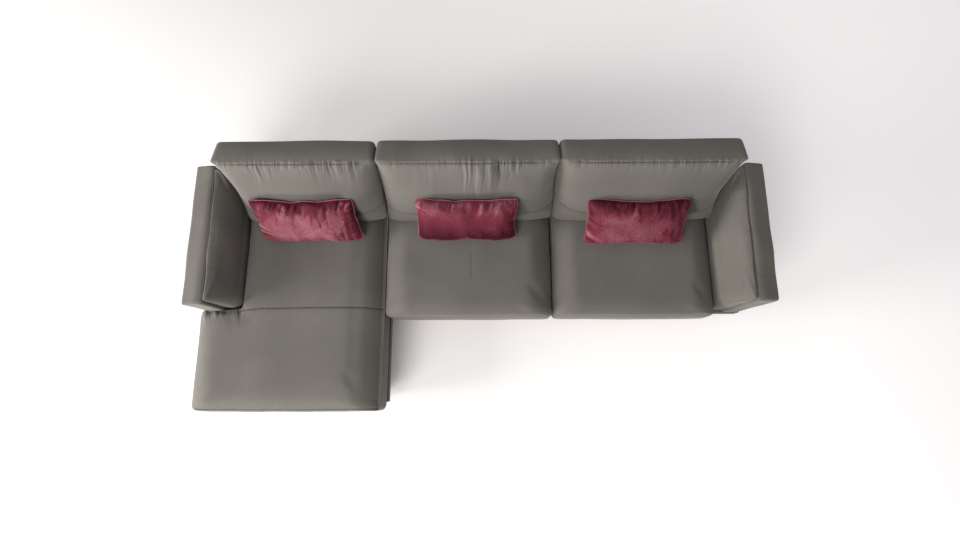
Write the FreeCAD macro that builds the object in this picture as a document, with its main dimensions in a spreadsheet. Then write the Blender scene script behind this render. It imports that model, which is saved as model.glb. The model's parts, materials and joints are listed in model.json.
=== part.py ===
"""A corner sofa: a chaise on the left, a middle seat and an end seat, each on a base of its own.

The frame has +X to the sitter's left as seen from the front (the chaise is at -X), +Y to the back
and +Z up. Its origin is on the floor under the middle of the sofa's box.
"""

import FreeCAD, Part
import math
import os
import Sketcher

Vector = FreeCAD.Vector

# Driving dimensions in millimetres: name, size, what it measures.
DRIVING = (
    ("arm_band", 114, "arm thickness at its top"),
    ("pad_foot", 112, "how far an arm pad stands out at the seat"),
    ("chaise_seat", 861, "clear seat width of the chaise"),
    ("centre_seat", 1008, "width of the middle seat"),
    ("end_seat", 979, "clear seat width of the end seat"),
    ("chaise_reach", 1397, "from the back plane to the front of the chaise cushion"),
    ("seat_reach", 851, "from the back plane to the front of the other seats"),
    ("arm_setback", 50, "front of the arms behind the front of the seats"),
    ("back_overhang", 55, "how far the back cushions lean over the back plane"),
    ("arm_height", 630, "floor to the top of the arms"),
    ("back_rear_height", 843, "floor to the rear top edge of the back cushions"),
    ("back_front_rise", 24, "front top edge of the back cushions above their rear one"),
    ("seat_thick", 232, "seat cushion from its underside to its crown"),
    ("back_foot_depth", 159, "depth of a back cushion where it stands on the seat"),
    ("back_front_run", 161, "how far a back cushion's front leans from its foot to its top"),
    ("back_rear_edge", 60, "height of the upright edge behind a back cushion's top"),
    ("base_recess", 42, "base set back under the seat fronts"),
    ("side_recess", 6, "base set in under the arms"),
    ("module_gap", 8, "space between two bases"),
    ("cushion_gap", 3, "space between two neighbouring cushions"),
    ("soft_gap", 0.3, "clearance between soft pieces that meet"),
    ("foot_height", 110, "floor to the underside of the base"),
    ("rail_height", 68, "height of the base rails"),
    ("rail_thick", 45, "thickness of the side rails"),
    ("front_rail_depth", 80, "depth of the front rails"),
    ("rear_rail_depth", 135, "depth of the rear rails"),
    ("cross_rail_lead", 40, "how far the cross rail stands out before the arm"),
    ("cross_rail_depth", 75, "depth of the cross rail"),
    ("back_depth", 98, "back panel thickness below the seat line"),
    ("panel_top_depth", 25, "back panel thickness at its top"),
    ("strap_width", 70, "width of a webbing strap"),
    ("strap_thick", 3, "thickness of a webbing strap"),
    ("strap_margin", 12, "space beside the outer straps"),
    ("cloth_thick", 1.5, "thickness of the dust cover"),
    ("foot_inset", 60, "foot axis from the side of its base"),
    ("foot_tip", 16, "radius of a foot at the floor"),
    ("foot_top", 24, "radius of a foot under its plate"),
    ("plate_radius", 34, "radius of a foot's plate"),
    ("plate_thick", 5, "thickness of a foot's plate"),
    ("stud_radius", 4, "radius of the stud on a foot"),
    ("stud_length", 32, "length of the stud on a foot"),
    ("stud_play", 0.2, "clearance round and above the stud"),
    ("glide_radius", 14, "radius of a felt glide"),
    ("glide_thick", 4, "thickness of a felt glide"),
    ("arm_round", 14, "rounding of the arm's edges"),
    ("arm_wall", 30, "padding between the arm's cover and its board"),
    ("arm_board", 40, "thickness of the board in the arm"),
    ("board_rim", 70, "width of the members round a board's windows"),
    ("board_play", 0.3, "clearance round a board in its padding"),
    ("back_wall", 26, "padding at the ends of a back panel"),
    ("back_board", 20, "thickness of the board in a back panel"),
    ("back_board_rear", 8, "padding behind the board in a back panel"),
    ("back_board_top", 40, "padding above the board in a back panel"),
    ("pad_drop", 8, "top of an arm pad below the top of the arm"),
    ("pad_top", 24, "width of an arm pad's flat top"),
    ("pad_round", 12, "rounding of an arm pad's foot"),
    ("pad_edge", 5, "rounding of an arm pad's top"),
    ("pad_nose", 26, "rounding of an arm pad where it meets the seat"),
    ("pad_crown", 12, "crown of an arm pad's sloping side"),
    ("pad_end", 24, "rounding of an arm pad's ends"),
    ("pad_draw", 9, "how far an arm pad's ends draw in"),
    ("pad_lead", 4, "arm pad's front behind the front of the arm"),
    ("seat_corner", 46, "rounding of the seat cushions in plan"),
    ("seat_notch", 7, "rounding of the chaise cushion in the corner beside the arm"),
    ("seat_crown_run", 130, "how far in the seat crown reaches"),
    ("seat_crown_rise", 46, "rise of the seat crown"),
    ("seat_tuck", 16, "rounding under the seat cushions"),
    ("core_wall", 45, "wadding round the sides of a foam core"),
    ("core_under", 24, "wadding under a foam core"),
    ("core_over", 38, "wadding over a foam core"),
    ("back_corner", 26, "rounding of a back cushion's lower front edge"),
    ("back_seam", 8, "rounding of a back cushion's upper front edge and foot"),
    ("back_rear_round", 22, "rounding of a back cushion's rear edges"),
    ("back_crown", 14, "crown of a back cushion's front"),
    ("back_end", 30, "rounding of a back cushion's ends"),
    ("back_draw", 14, "how far a back cushion's ends draw in"),
    ("scatter_length", 590, "scatter cushion, seam to seam"),
    ("scatter_width", 292, "scatter cushion, seam to seam"),
    ("scatter_thick", 112, "scatter cushion at its middle"),
    ("scatter_run", 120, "how far in a scatter cushion still swells"),
    ("scatter_corner", 18, "rounding of a scatter cushion's corners"),
    ("hook_plate", 3, "thickness of a connector plate"),
    ("hook_length", 100, "length of a connector plate"),
    ("hook_height", 46, "height of a connector plate"),
    ("hook_margin", 100, "connector plate from the rail beside it"),
    ("tongue_width", 40, "width of a connector's tongue"),
    ("tongue_thick", 6, "thickness of a connector's tongue"),
    ("tongue_play", 0.5, "clearance round a connector's tongue"),
)

# How the pieces curve and lean, as shares of the sizes that they follow. A tilt is a share of a right angle.
SIDE_BOW_SHARE = 0.006
SCATTER_BOW_SHARE = 0.028
END_CROWN_SHARE = 0.45
PANEL_WINDOW_SHARE = 0.5
ROUND_REACH_SHARE = 0.48
LEFT_TILT_SHARE = 0.6
CENTRE_TILT_SHARE = 0.6
RIGHT_TILT_SHARE = 0.51
LEFT_SHIFT_SHARE = -0.022
CENTRE_SHIFT_SHARE = -0.013
RIGHT_SHIFT_SHARE = -0.009

# Counts.
ROUND_STEPS = 5
END_STEPS = 4
CHAISE_STRAPS = 6
CENTRE_STRAPS = 7
END_STRAPS = 7

doc = FreeCAD.newDocument("corner_sofa")
sheet = doc.addObject("Spreadsheet::Sheet", "Sizes")
for row, (alias, number, meaning) in enumerate(DRIVING, start=1):
    sheet.set(f"A{row}", meaning)
    sheet.set(f"B{row}", str(number))
    sheet.setAlias(f"B{row}", alias)
doc.recompute()

# Places that many pieces share, as formulas of the sheet's sizes.
HALF_WIDTH = (
    "(Sizes.arm_band + Sizes.pad_foot"
    " + (Sizes.chaise_seat + Sizes.centre_seat + Sizes.end_seat) / 2)"
)
ARM_LEFT = f"(Sizes.arm_band - {HALF_WIDTH})"
ARM_RIGHT = f"({HALF_WIDTH} - Sizes.arm_band)"
PAD_LEFT = f"({ARM_LEFT} + Sizes.pad_foot)"
PAD_RIGHT = f"({ARM_RIGHT} - Sizes.pad_foot)"
JOINT_LEFT = f"({PAD_LEFT} + Sizes.chaise_seat)"
JOINT_RIGHT = f"({JOINT_LEFT} + Sizes.centre_seat)"
BACK = "((Sizes.chaise_reach - Sizes.back_overhang) / 2)"
CHAISE_FRONT = f"({BACK} - Sizes.chaise_reach)"
SEAT_FRONT = f"({BACK} - Sizes.seat_reach)"
ARM_FRONT = f"({SEAT_FRONT} + Sizes.arm_setback)"
ARM_DEPTH = f"({BACK} - {ARM_FRONT})"
BASE_FRONT = f"({SEAT_FRONT} + Sizes.base_recess)"
CHAISE_BASE_FRONT = f"({CHAISE_FRONT} + Sizes.base_recess)"
PANEL_FACE = f"({BACK} - Sizes.back_depth)"
REAR_RAIL = f"({BACK} - Sizes.rear_rail_depth)"
DECK = "(Sizes.foot_height + Sizes.rail_height)"
SEAT_UNDER = f"({DECK} + Sizes.strap_thick + Sizes.soft_gap)"
SEAT_TOP = f"({SEAT_UNDER} + Sizes.seat_thick)"
BACK_FOOT = f"({SEAT_TOP} + Sizes.soft_gap)"
LEAN_HEIGHT = f"(Sizes.back_rear_height - Sizes.back_rear_edge - {BACK_FOOT})"
SLOPE = f"((Sizes.back_depth + Sizes.soft_gap + Sizes.back_overhang) / {LEAN_HEIGHT})"
PANEL_TOP_RUN = "(Sizes.back_depth - Sizes.panel_top_depth)"
PANEL_TOP = f"({BACK_FOOT} + {PANEL_TOP_RUN} / {SLOPE})"
BACK_FRONT_TOP = "(Sizes.back_rear_height + Sizes.back_front_rise)"
HALF_GAP = "Sizes.module_gap / 2"

# Each base: name, left side, right side, front.
BASES = (
    ("chaise", f"(Sizes.side_recess - {HALF_WIDTH})", f"({JOINT_LEFT} - {HALF_GAP})", CHAISE_BASE_FRONT),
    ("centre", f"({JOINT_LEFT} + {HALF_GAP})", f"({JOINT_RIGHT} - {HALF_GAP})", BASE_FRONT),
    ("end", f"({JOINT_RIGHT} + {HALF_GAP})", f"({HALF_WIDTH} - Sizes.side_recess)", BASE_FRONT),
)

subparts = []


def worth(formula):
    """Work out a formula of the sheet's sizes as a plain number."""
    return float(sheet.evalExpression(str(formula)))


def keep(thing, label):
    """Give a finished piece its name and put it among the sofa's sub-parts."""
    thing.Label = label
    subparts.append(thing)
    return thing


def bind(thing, formulas):
    """Bind properties of an object to formulas of the sheet's sizes."""
    for name, formula in formulas.items():
        thing.setExpression(name, formula)
    return thing


def place(thing, corner):
    """Bind an object's place to three formulas."""
    axes = ("Placement.Base.x", "Placement.Base.y", "Placement.Base.z")
    return bind(thing, dict(zip(axes, corner)))


def block(name, corner, span):
    """Make a box from its lowest corner and its three lengths, all formulas."""
    box = doc.addObject("Part::Box", name)
    bind(box, dict(zip(("Length", "Width", "Height"), span)))
    return place(box, corner)


def rod(name, base, radius, height):
    """Make an upright cylinder from the middle of its underside."""
    cylinder = doc.addObject("Part::Cylinder", name)
    bind(cylinder, {"Radius": radius, "Height": height})
    return place(cylinder, base)


def group(name, members):
    """Join separate solids in one object."""
    compound = doc.addObject("Part::Compound", name)
    compound.Links = members
    return compound


def cut(name, base, tool):
    """Take one object out of another."""
    result = doc.addObject("Part::Cut", name)
    result.Base = base
    result.Tool = tool
    return result


def fuse(name, base, tool):
    """Join two objects in one solid."""
    result = doc.addObject("Part::Fuse", name)
    result.Base = base
    result.Tool = tool
    return result


def outline(body, role, name, points):
    """Draw a closed outline on an origin plane of a body, each point bound to two formulas."""
    plane = next(part for part in body.Origin.OriginFeatures if part.Role == role)
    sketch = body.newObject("Sketcher::SketchObject", name)
    sketch.AttachmentSupport = [(plane, "")]
    sketch.MapMode = "FlatFace"
    numbers = [Vector(worth(across), worth(up), 0) for across, up in points]
    for start, end in zip(numbers, numbers[1:] + numbers[:1]):
        sketch.addGeometry(Part.LineSegment(start, end), False)
    for line in range(len(points)):
        following = (line + 1) % len(points)
        sketch.addConstraint(Sketcher.Constraint("Coincident", line, 2, following, 1))
    for line, (point, number) in enumerate(zip(points, numbers)):
        for kind, formula, distance in zip(("DistanceX", "DistanceY"), point, number):
            index = sketch.addConstraint(Sketcher.Constraint(kind, -1, 1, line, 1, distance))
            sketch.setExpression(f"Constraints[{index}]", formula)
    return sketch


def rectangle(across, up, width, height):
    """List the corners of a rectangle as formulas."""
    far = f"({across} + {width})"
    high = f"({up} + {height})"
    return ((across, up), (far, up), (far, high), (across, high))


def pad(body, sketch, name, length):
    """Raise a sketch along its plane's normal."""
    feature = body.newObject("PartDesign::Pad", name)
    feature.Profile = sketch
    return bind(feature, {"Length": length})


def hollow(body, name, footprint, depth):
    """Cut a pocket upward into a body from its underside."""
    sketch = outline(body, "XY_Plane", f"{name}_outline", footprint)
    pocket = body.newObject("PartDesign::Pocket", name)
    pocket.Profile = sketch
    pocket.Reversed = True
    bind(pocket, {"Length": depth})
    doc.recompute()
    return pocket


def ring(corners, inset, radii, bows):
    """Round a closed plane outline, taken anticlockwise, and curve its sides.

    Each corner moves in by inset and gets an arc of its radius, smaller where a side is too short for it.
    Each side is an arc that pulls in by its bow, or swells where the bow is below zero. Returns each arc as
    three points.
    """
    points = [Vector(across, up, 0) for across, up in corners]
    moved, turns = [], []
    for before, corner, after in zip(points[-1:] + points[:-1], points, points[1:] + points[:1]):
        back = (before - corner).normalize()
        ahead = (after - corner).normalize()
        middle = (back + ahead).normalize()
        half = back.getAngle(ahead) / 2
        inward = 1 if back.cross(ahead).z < 0 else -1
        moved.append(corner + middle * (inward * inset / math.sin(half)))
        turns.append((back, middle, ahead, half))
    rounds = []
    neighbours = zip(moved[-1:] + moved[:-1], moved, moved[1:] + moved[:1])
    for (before, corner, after), (back, middle, ahead, half), radius in zip(neighbours, turns, radii):
        side = min((before - corner).Length, (after - corner).Length)
        reach = min(radius / math.tan(half), side * ROUND_REACH_SHARE)
        radius = reach * math.tan(half)
        crest = corner + middle * (radius / math.sin(half) - radius)
        rounds.append((corner + back * reach, crest, corner + ahead * reach))
    arcs = []
    for turn, following, bow in zip(rounds, rounds[1:] + rounds[:1], bows):
        start, end = turn[2], following[0]
        along = (end - start).normalize()
        middle = (start + end) / 2 + Vector(-along.y, along.x, 0) * bow
        arcs.extend((turn, (start, middle, end)))
    return arcs


def wire(arcs, place_point):
    """Carry a ring of plane arcs into space and join them in a closed wire."""
    edges = []
    for arc in arcs:
        start, middle, end = (place_point(point.x, point.y) for point in arc)
        edges.append(Part.Arc(start, middle, end).toShape())
    return Part.Wire(edges)


def side_bows(corners, share):
    """Give each side of an outline a bow that is a share of its length."""
    lengths = [
        math.dist(start, end) for start, end in zip(corners, corners[1:] + corners[:1])
    ]
    return [share * length for length in lengths]


def quarter(steps):
    """List the sine and cosine of even steps from 0 to a right angle."""
    angles = [math.pi / 2 * step / steps for step in range(steps + 1)]
    return [(math.sin(angle), math.cos(angle)) for angle in angles]


def end_stations(start, finish, reach, draw):
    """List places along a soft piece and how far its outline draws in there, rounded at both ends."""
    near = [(reach * (1 - cosine), draw * (1 - sine)) for sine, cosine in quarter(END_STEPS)]
    first = [(start + along, inset) for along, inset in near]
    last = [(finish - along, inset) for along, inset in reversed(near)]
    return [*first, ((start + finish) / 2, 0), *last]


def soft(label, shape):
    """Put a shape worked out from the sheet's sizes in the document as a sub-part."""
    feature = doc.addObject("Part::Feature", label)
    feature.Shape = shape
    return keep(feature, label)


def base_rails(name, left, right, front, feet):
    """Make a base's four rails, with a blind bore for each foot's stud."""
    width = f"({right} - {left})"
    side_front = f"({front} + Sizes.front_rail_depth)"
    side_depth = f"({REAR_RAIL} - {side_front})"
    inner_right = f"({right} - Sizes.rail_thick)"
    floor = "Sizes.foot_height"
    fronts = {
        "front": (front, "Sizes.front_rail_depth"),
        "rear": (REAR_RAIL, "Sizes.rear_rail_depth"),
    }
    for end, (start, depth) in fronts.items():
        whole = block(f"{name}_{end}_beam", (left, start, floor), (width, depth, "Sizes.rail_height"))
        bores = [
            rod(
                f"{name}_{end}_{side}_bore",
                (across, along, floor),
                "Sizes.stud_radius + Sizes.stud_play",
                "Sizes.stud_length + Sizes.stud_play",
            )
            for (foot_end, side), (across, along) in feet.items()
            if foot_end == end
        ]
        keep(cut(f"{name}_{end}_rail", whole, group(f"{name}_{end}_bores", bores)), f"{name}_{end}_rail")
    for side, across in (("left", left), ("right", inner_right)):
        span = ("Sizes.rail_thick", side_depth, "Sizes.rail_height")
        keep(block(f"{name}_{side}_rail", (across, side_front, floor), span), f"{name}_{side}_rail")


def cross_rail(left, right):
    """Make the chaise's cross rail, which carries the front of the arm."""
    low = f"({left} + Sizes.rail_thick)"
    raised = "Sizes.cloth_thick + Sizes.soft_gap"
    corner = (low, f"{ARM_FRONT} - Sizes.cross_rail_lead", f"Sizes.foot_height + {raised}")
    span = (f"{right} - Sizes.rail_thick - {low}", "Sizes.cross_rail_depth", f"Sizes.rail_height - ({raised})")
    keep(block("chaise_cross_rail", corner, span), "chaise_cross_rail")


def foot_places(left, right, front):
    """Work out where a base's four feet stand."""
    sides = {"left": f"({left} + Sizes.foot_inset)", "right": f"({right} - Sizes.foot_inset)"}
    ends = {"front": f"({front} + Sizes.front_rail_depth / 2)", "rear": f"({BACK} - Sizes.foot_inset)"}
    return {(end, side): (sides[side], ends[end]) for end in ends for side in sides}


def foot(label, across, along):
    """Turn a tapered foot with its plate and its stud in one profile."""
    body = doc.addObject("PartDesign::Body", label)
    plate = "(Sizes.foot_height - Sizes.glide_thick)"
    neck = f"({plate} - Sizes.plate_thick)"
    top = f"({plate} + Sizes.stud_length)"
    profile = (
        ("0", "0"),
        ("Sizes.foot_tip", "0"),
        ("Sizes.foot_top", neck),
        ("Sizes.plate_radius", neck),
        ("Sizes.plate_radius", plate),
        ("Sizes.stud_radius", plate),
        ("Sizes.stud_radius", top),
        ("0", top),
    )
    sketch = outline(body, "XZ_Plane", f"{label}_profile", profile)
    turned = body.newObject("PartDesign::Revolution", f"{label}_turned")
    turned.Profile = sketch
    turned.ReferenceAxis = (sketch, ["V_Axis"])
    turned.Angle = 360
    place(body, (across, along, "Sizes.glide_thick"))
    keep(body, label)


def webbing(name, low, high, front, straps, short_strap=False):
    """Lay straps from the front rail to the rear rail, under the seat cushion."""
    members = []
    length = f"({PANEL_FACE} - Sizes.soft_gap - {front})"
    span = ("Sizes.strap_width", length, "Sizes.strap_thick")
    run = f"({high} - {low} - Sizes.strap_width)"
    for index in range(straps):
        across = f"{low} + {run} * {index} / {straps - 1}"
        members.append(block(f"{name}_strap_{index}", (across, front, DECK), span))
    if short_strap:
        across = f"{low} - Sizes.pad_foot - Sizes.strap_margin - Sizes.strap_width"
        length = f"{ARM_FRONT} - Sizes.soft_gap - {front}"
        span = ("Sizes.strap_width", length, "Sizes.strap_thick")
        members.append(block(f"{name}_short_strap", (across, front, DECK), span))
    keep(group(f"{name}_webbing", members), f"{name}_webbing")


def dust_cover(name, left, right, front):
    """Close a base from below with a sheet between its rails."""
    low = f"({left} + Sizes.rail_thick + Sizes.soft_gap)"
    start = f"({front} + Sizes.front_rail_depth + Sizes.soft_gap)"
    span = (
        f"{right} - Sizes.rail_thick - Sizes.soft_gap - {low}",
        f"{REAR_RAIL} - Sizes.soft_gap - {start}",
        "Sizes.cloth_thick",
    )
    keep(block(f"{name}_dust_cover", (low, start, "Sizes.foot_height"), span), f"{name}_dust_cover")


def connectors():
    """Make the hooked plates that hold neighbouring bases together."""
    hooks, sockets = [], []
    middle = "(Sizes.foot_height + Sizes.rail_height / 2)"
    plate_low = f"({middle} - Sizes.hook_height / 2)"
    places = (
        f"({BASE_FRONT} + Sizes.front_rail_depth + Sizes.hook_margin)",
        f"({REAR_RAIL} - Sizes.hook_margin - Sizes.hook_length)",
    )
    plate = ("Sizes.hook_plate", "Sizes.hook_length", "Sizes.hook_height")
    for side, joint in (("left", JOINT_LEFT), ("right", JOINT_RIGHT)):
        for end, along in zip(("front", "rear"), places):
            name = f"{side}_{end}"
            near = f"({joint} - {HALF_GAP})"
            far = f"({joint} + {HALF_GAP} - Sizes.hook_plate)"
            tongue_along = f"({along} + (Sizes.hook_length - Sizes.tongue_width) / 2)"
            tongue_low = f"({middle} - Sizes.tongue_thick / 2)"
            tongue = block(
                f"tongue_{name}",
                (near, tongue_along, tongue_low),
                ("Sizes.module_gap - Sizes.soft_gap", "Sizes.tongue_width", "Sizes.tongue_thick"),
            )
            slot = block(
                f"slot_{name}",
                (far, f"{tongue_along} - Sizes.tongue_play", f"{tongue_low} - Sizes.tongue_play"),
                (
                    "Sizes.hook_plate",
                    "Sizes.tongue_width + 2 * Sizes.tongue_play",
                    "Sizes.tongue_thick + 2 * Sizes.tongue_play",
                ),
            )
            hook_plate = block(f"hook_plate_{name}", (near, along, plate_low), plate)
            socket_plate = block(f"socket_plate_{name}", (far, along, plate_low), plate)
            hooks.append(fuse(f"hook_{name}", hook_plate, tongue))
            sockets.append(cut(f"socket_{name}", socket_plate, slot))
    keep(group("connector_hooks", hooks), "connector_hooks")
    keep(group("connector_sockets", sockets), "connector_sockets")


def board(name, label, corner, span, flat):
    """Make a board with two windows; flat is 0 where it is thin along X and 1 along Y."""
    whole = block(f"{name}_whole", corner, span)
    long_way = 1 - flat
    window = f"(({span[long_way]} - 3 * Sizes.board_rim) * {PANEL_WINDOW_SHARE})"
    windows = []
    for index in range(2):
        place_at = list(corner)
        size_of = list(span)
        place_at[long_way] = f"{corner[long_way]} + Sizes.board_rim + {index} * ({window} + Sizes.board_rim)"
        size_of[long_way] = window
        place_at[2] = f"{corner[2]} + Sizes.board_rim"
        size_of[2] = f"{span[2]} - 2 * Sizes.board_rim"
        windows.append(block(f"{name}_window_{index}", place_at, size_of))
    keep(cut(f"{name}_cut", whole, group(f"{name}_windows", windows)), label)


def arm(side, outer):
    """Make an arm's padded casing and the board that stands in it."""
    body = doc.addObject("PartDesign::Body", f"{side}_arm_casing")
    height = f"(Sizes.arm_height - {DECK})"
    sketch = outline(body, "XY_Plane", f"{side}_arm_plan", rectangle("0", "0", "Sizes.arm_band", ARM_DEPTH))
    raised = pad(body, sketch, f"{side}_arm_block", height)
    doc.recompute()
    edges = [
        f"Edge{index}"
        for index, edge in enumerate(raised.Shape.Edges, start=1)
        if edge.CenterOfMass.z > 0
    ]
    rounded = body.newObject("PartDesign::Fillet", f"{side}_arm_edges")
    rounded.Base = (raised, edges)
    bind(rounded, {"Radius": "Sizes.arm_round"})
    doc.recompute()
    thick = "(Sizes.arm_board + 2 * Sizes.board_play)"
    wall = f"((Sizes.arm_band - {thick}) / 2)"
    deep = f"({ARM_DEPTH} - 2 * Sizes.arm_wall)"
    tall = f"({height} - Sizes.arm_wall)"
    hollow(body, f"{side}_arm_cavity", rectangle(wall, "Sizes.arm_wall", thick, deep), tall)
    place(body, (outer, ARM_FRONT, DECK))
    keep(body, f"{side}_arm_casing")
    corner = (
        f"{outer} + {wall} + Sizes.board_play",
        f"({ARM_FRONT} + Sizes.arm_wall + Sizes.board_play)",
        DECK,
    )
    span = ("Sizes.arm_board", f"({deep} - 2 * Sizes.board_play)", f"({tall} - Sizes.board_play)")
    board(f"{side}_arm_board", f"{side}_arm_frame", corner, span, 0)


def arm_pad(side, mirrored):
    """Loft the wedge pad that lines an arm, with its crowned slope and rounded ends."""
    inner = worth(ARM_RIGHT) - worth("Sizes.soft_gap")
    nose = worth(PAD_RIGHT)
    low, seat_line = worth(SEAT_UNDER), worth(SEAT_TOP)
    top = worth("Sizes.arm_height - Sizes.pad_drop")
    corners = [
        (nose, low),
        (inner, low),
        (inner, top),
        (inner - worth("Sizes.pad_top"), top),
        (nose, seat_line),
    ]
    edge, foot_round = worth("Sizes.pad_edge"), worth("Sizes.pad_round")
    radii = [foot_round, edge, edge, edge, worth("Sizes.pad_nose")]
    crown = worth("Sizes.pad_crown")
    start = worth(f"{ARM_FRONT} + Sizes.pad_lead")
    finish = worth(f"{PANEL_FACE} - Sizes.soft_gap")
    draw = worth("Sizes.pad_draw")
    wires = []
    for along, inset in end_stations(start, finish, worth("Sizes.pad_end"), draw):
        full = 1 - inset / draw * (1 - END_CROWN_SHARE)
        bows = side_bows(corners, SIDE_BOW_SHARE)
        bows[3] = -crown * full
        arcs = ring(corners, inset, radii, bows)
        wires.append(wire(arcs, lambda across, up, y=along: Vector(mirrored * across, y, up)))
    soft(f"{side}_arm_pad", Part.makeLoft(wires, True, True))


def back_panel(name, low, high):
    """Make a back panel's wedge casing and the board that stands in it."""
    width = f"({high} - {low})"
    body = doc.addObject("PartDesign::Body", f"{name}_back_panel")
    seat_line = f"({BACK_FOOT} - {DECK})"
    top = f"({PANEL_TOP} - {DECK})"
    profile = (
        ("0", "0"),
        ("Sizes.back_depth", "0"),
        ("Sizes.back_depth", top),
        (PANEL_TOP_RUN, top),
        ("0", seat_line),
    )
    sketch = outline(body, "YZ_Plane", f"{name}_back_profile", profile)
    pad(body, sketch, f"{name}_back_block", width)
    doc.recompute()
    thick = "(Sizes.back_board + 2 * Sizes.board_play)"
    front = f"(Sizes.back_depth - Sizes.back_board_rear - {thick})"
    inner = f"({width} - 2 * Sizes.back_wall)"
    tall = f"({top} - Sizes.back_board_top)"
    hollow(body, f"{name}_back_cavity", rectangle("Sizes.back_wall", front, inner, thick), tall)
    place(body, (low, PANEL_FACE, DECK))
    keep(body, f"{name}_back_panel")
    corner = (
        f"({low} + Sizes.back_wall + Sizes.board_play)",
        f"({PANEL_FACE} + {front} + Sizes.board_play)",
        DECK,
    )
    span = (f"({inner} - 2 * Sizes.board_play)", "Sizes.back_board", f"({tall} - Sizes.board_play)")
    board(f"{name}_back_board", f"{name}_back_frame", corner, span, 1)


def seat_rings():
    """List the heights and insets of a seat cushion's rings, from its tuck to its crown."""
    low, high = worth(SEAT_UNDER), worth(SEAT_TOP)
    tuck = worth("Sizes.seat_tuck")
    run, rise = worth("Sizes.seat_crown_run"), worth("Sizes.seat_crown_rise")
    rings = [(low + tuck * (1 - cosine), tuck * (1 - sine)) for sine, cosine in quarter(END_STEPS)]
    rings += [(high - rise + rise * sine, run * (1 - cosine)) for sine, cosine in quarter(ROUND_STEPS)]
    return rings


def seat_cushion(name, corners, radii, core_corner, core_span):
    """Loft a crowned seat cushion with drawn-in sides round its foam core."""
    bows = side_bows(corners, SIDE_BOW_SHARE)
    wires = [
        wire(ring(corners, inset, radii, bows), lambda across, along, z=height: Vector(across, along, z))
        for height, inset in seat_rings()
    ]
    whole = Part.makeLoft(wires, True, True)
    play = worth("Sizes.soft_gap")
    corner = Vector(*(worth(formula) - play for formula in core_corner))
    cavity = Part.makeBox(*(worth(formula) + 2 * play for formula in core_span), corner)
    soft(f"{name}_seat_cushion", whole.cut(cavity))
    keep(block(f"{name}_seat_foam", core_corner, core_span), f"{name}_seat_foam")


def core_box(low, high, front):
    """Work out the corner and the lengths of a seat's foam core."""
    corner = (f"({low} + Sizes.core_wall)", f"({front} + Sizes.core_wall)", f"({SEAT_UNDER} + Sizes.core_under)")
    span = (
        f"({high} - {low} - 2 * Sizes.core_wall)",
        f"({PANEL_FACE} - {front} - 2 * Sizes.core_wall)",
        "(Sizes.seat_thick - Sizes.core_under - Sizes.core_over)",
    )
    return corner, span


def seat_cushions():
    """Make the L-shaped chaise cushion, which wraps before the arm, and the two plain ones."""
    gap = worth("Sizes.cushion_gap") / 2
    rear = worth(f"{PANEL_FACE} - Sizes.soft_gap")
    front, chaise_front = worth(SEAT_FRONT), worth(CHAISE_FRONT)
    chaise_left = f"({PAD_LEFT} + Sizes.cushion_gap / 2)"
    end_right = f"({PAD_RIGHT} - Sizes.cushion_gap / 2)"
    outer = -worth(HALF_WIDTH)
    wrap = worth(f"{ARM_FRONT} - Sizes.cushion_gap")
    left, right = worth(JOINT_LEFT), worth(JOINT_RIGHT)
    chaise = [
        (outer, chaise_front),
        (left - gap, chaise_front),
        (left - gap, rear),
        (worth(chaise_left), rear),
        (worth(chaise_left), wrap),
        (outer, wrap),
    ]
    corner, notch = worth("Sizes.seat_corner"), worth("Sizes.seat_notch")
    chaise_rounds = [corner, corner, corner, corner, notch, corner]
    seat_cushion("chaise", chaise, chaise_rounds, *core_box(chaise_left, JOINT_LEFT, CHAISE_FRONT))
    centre = [(left + gap, front), (right - gap, front), (right - gap, rear), (left + gap, rear)]
    rounds = [corner] * len(centre)
    seat_cushion("centre", centre, rounds, *core_box(JOINT_LEFT, JOINT_RIGHT, SEAT_FRONT))
    far = worth(end_right)
    end = [(right + gap, front), (far, front), (far, rear), (right + gap, rear)]
    seat_cushion("end", end, rounds, *core_box(JOINT_RIGHT, end_right, SEAT_FRONT))


def back_cushion(name, low, high):
    """Loft a leaning back cushion: flat behind, crowned in front, rounded at both ends."""
    foot_height = worth(BACK_FOOT)
    rear_foot = worth(f"{PANEL_FACE} - Sizes.soft_gap")
    slope = worth(SLOPE)
    front_foot = rear_foot - worth("Sizes.back_foot_depth")
    lean_height = worth(LEAN_HEIGHT)
    rear = rear_foot + slope * lean_height
    corners = [
        (front_foot, foot_height),
        (rear_foot, foot_height),
        (rear, foot_height + lean_height),
        (rear, worth("Sizes.back_rear_height")),
        (front_foot + worth("Sizes.back_front_run"), worth(BACK_FRONT_TOP)),
    ]
    seam, rear_round = worth("Sizes.back_seam"), worth("Sizes.back_rear_round")
    radii = [worth("Sizes.back_corner"), seam, rear_round, rear_round, seam]
    crown = worth("Sizes.back_crown")
    start, finish = low + worth("Sizes.cushion_gap") / 2, high - worth("Sizes.cushion_gap") / 2
    stations = end_stations(start, finish, worth("Sizes.back_end"), worth("Sizes.back_draw"))
    straight = side_bows(corners, SIDE_BOW_SHARE)
    wires = []
    for across, inset in stations:
        edge = min(across - start, finish - across) / ((finish - start) / 2)
        full = END_CROWN_SHARE + (1 - END_CROWN_SHARE) * edge
        bows = [*straight[:-1], -crown * full]
        arcs = ring(corners, inset, radii, bows)
        wires.append(wire(arcs, lambda along, up, x=across: Vector(x, along, up)))
    soft(f"{name}_back_cushion", Part.makeLoft(wires, True, True))


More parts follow.
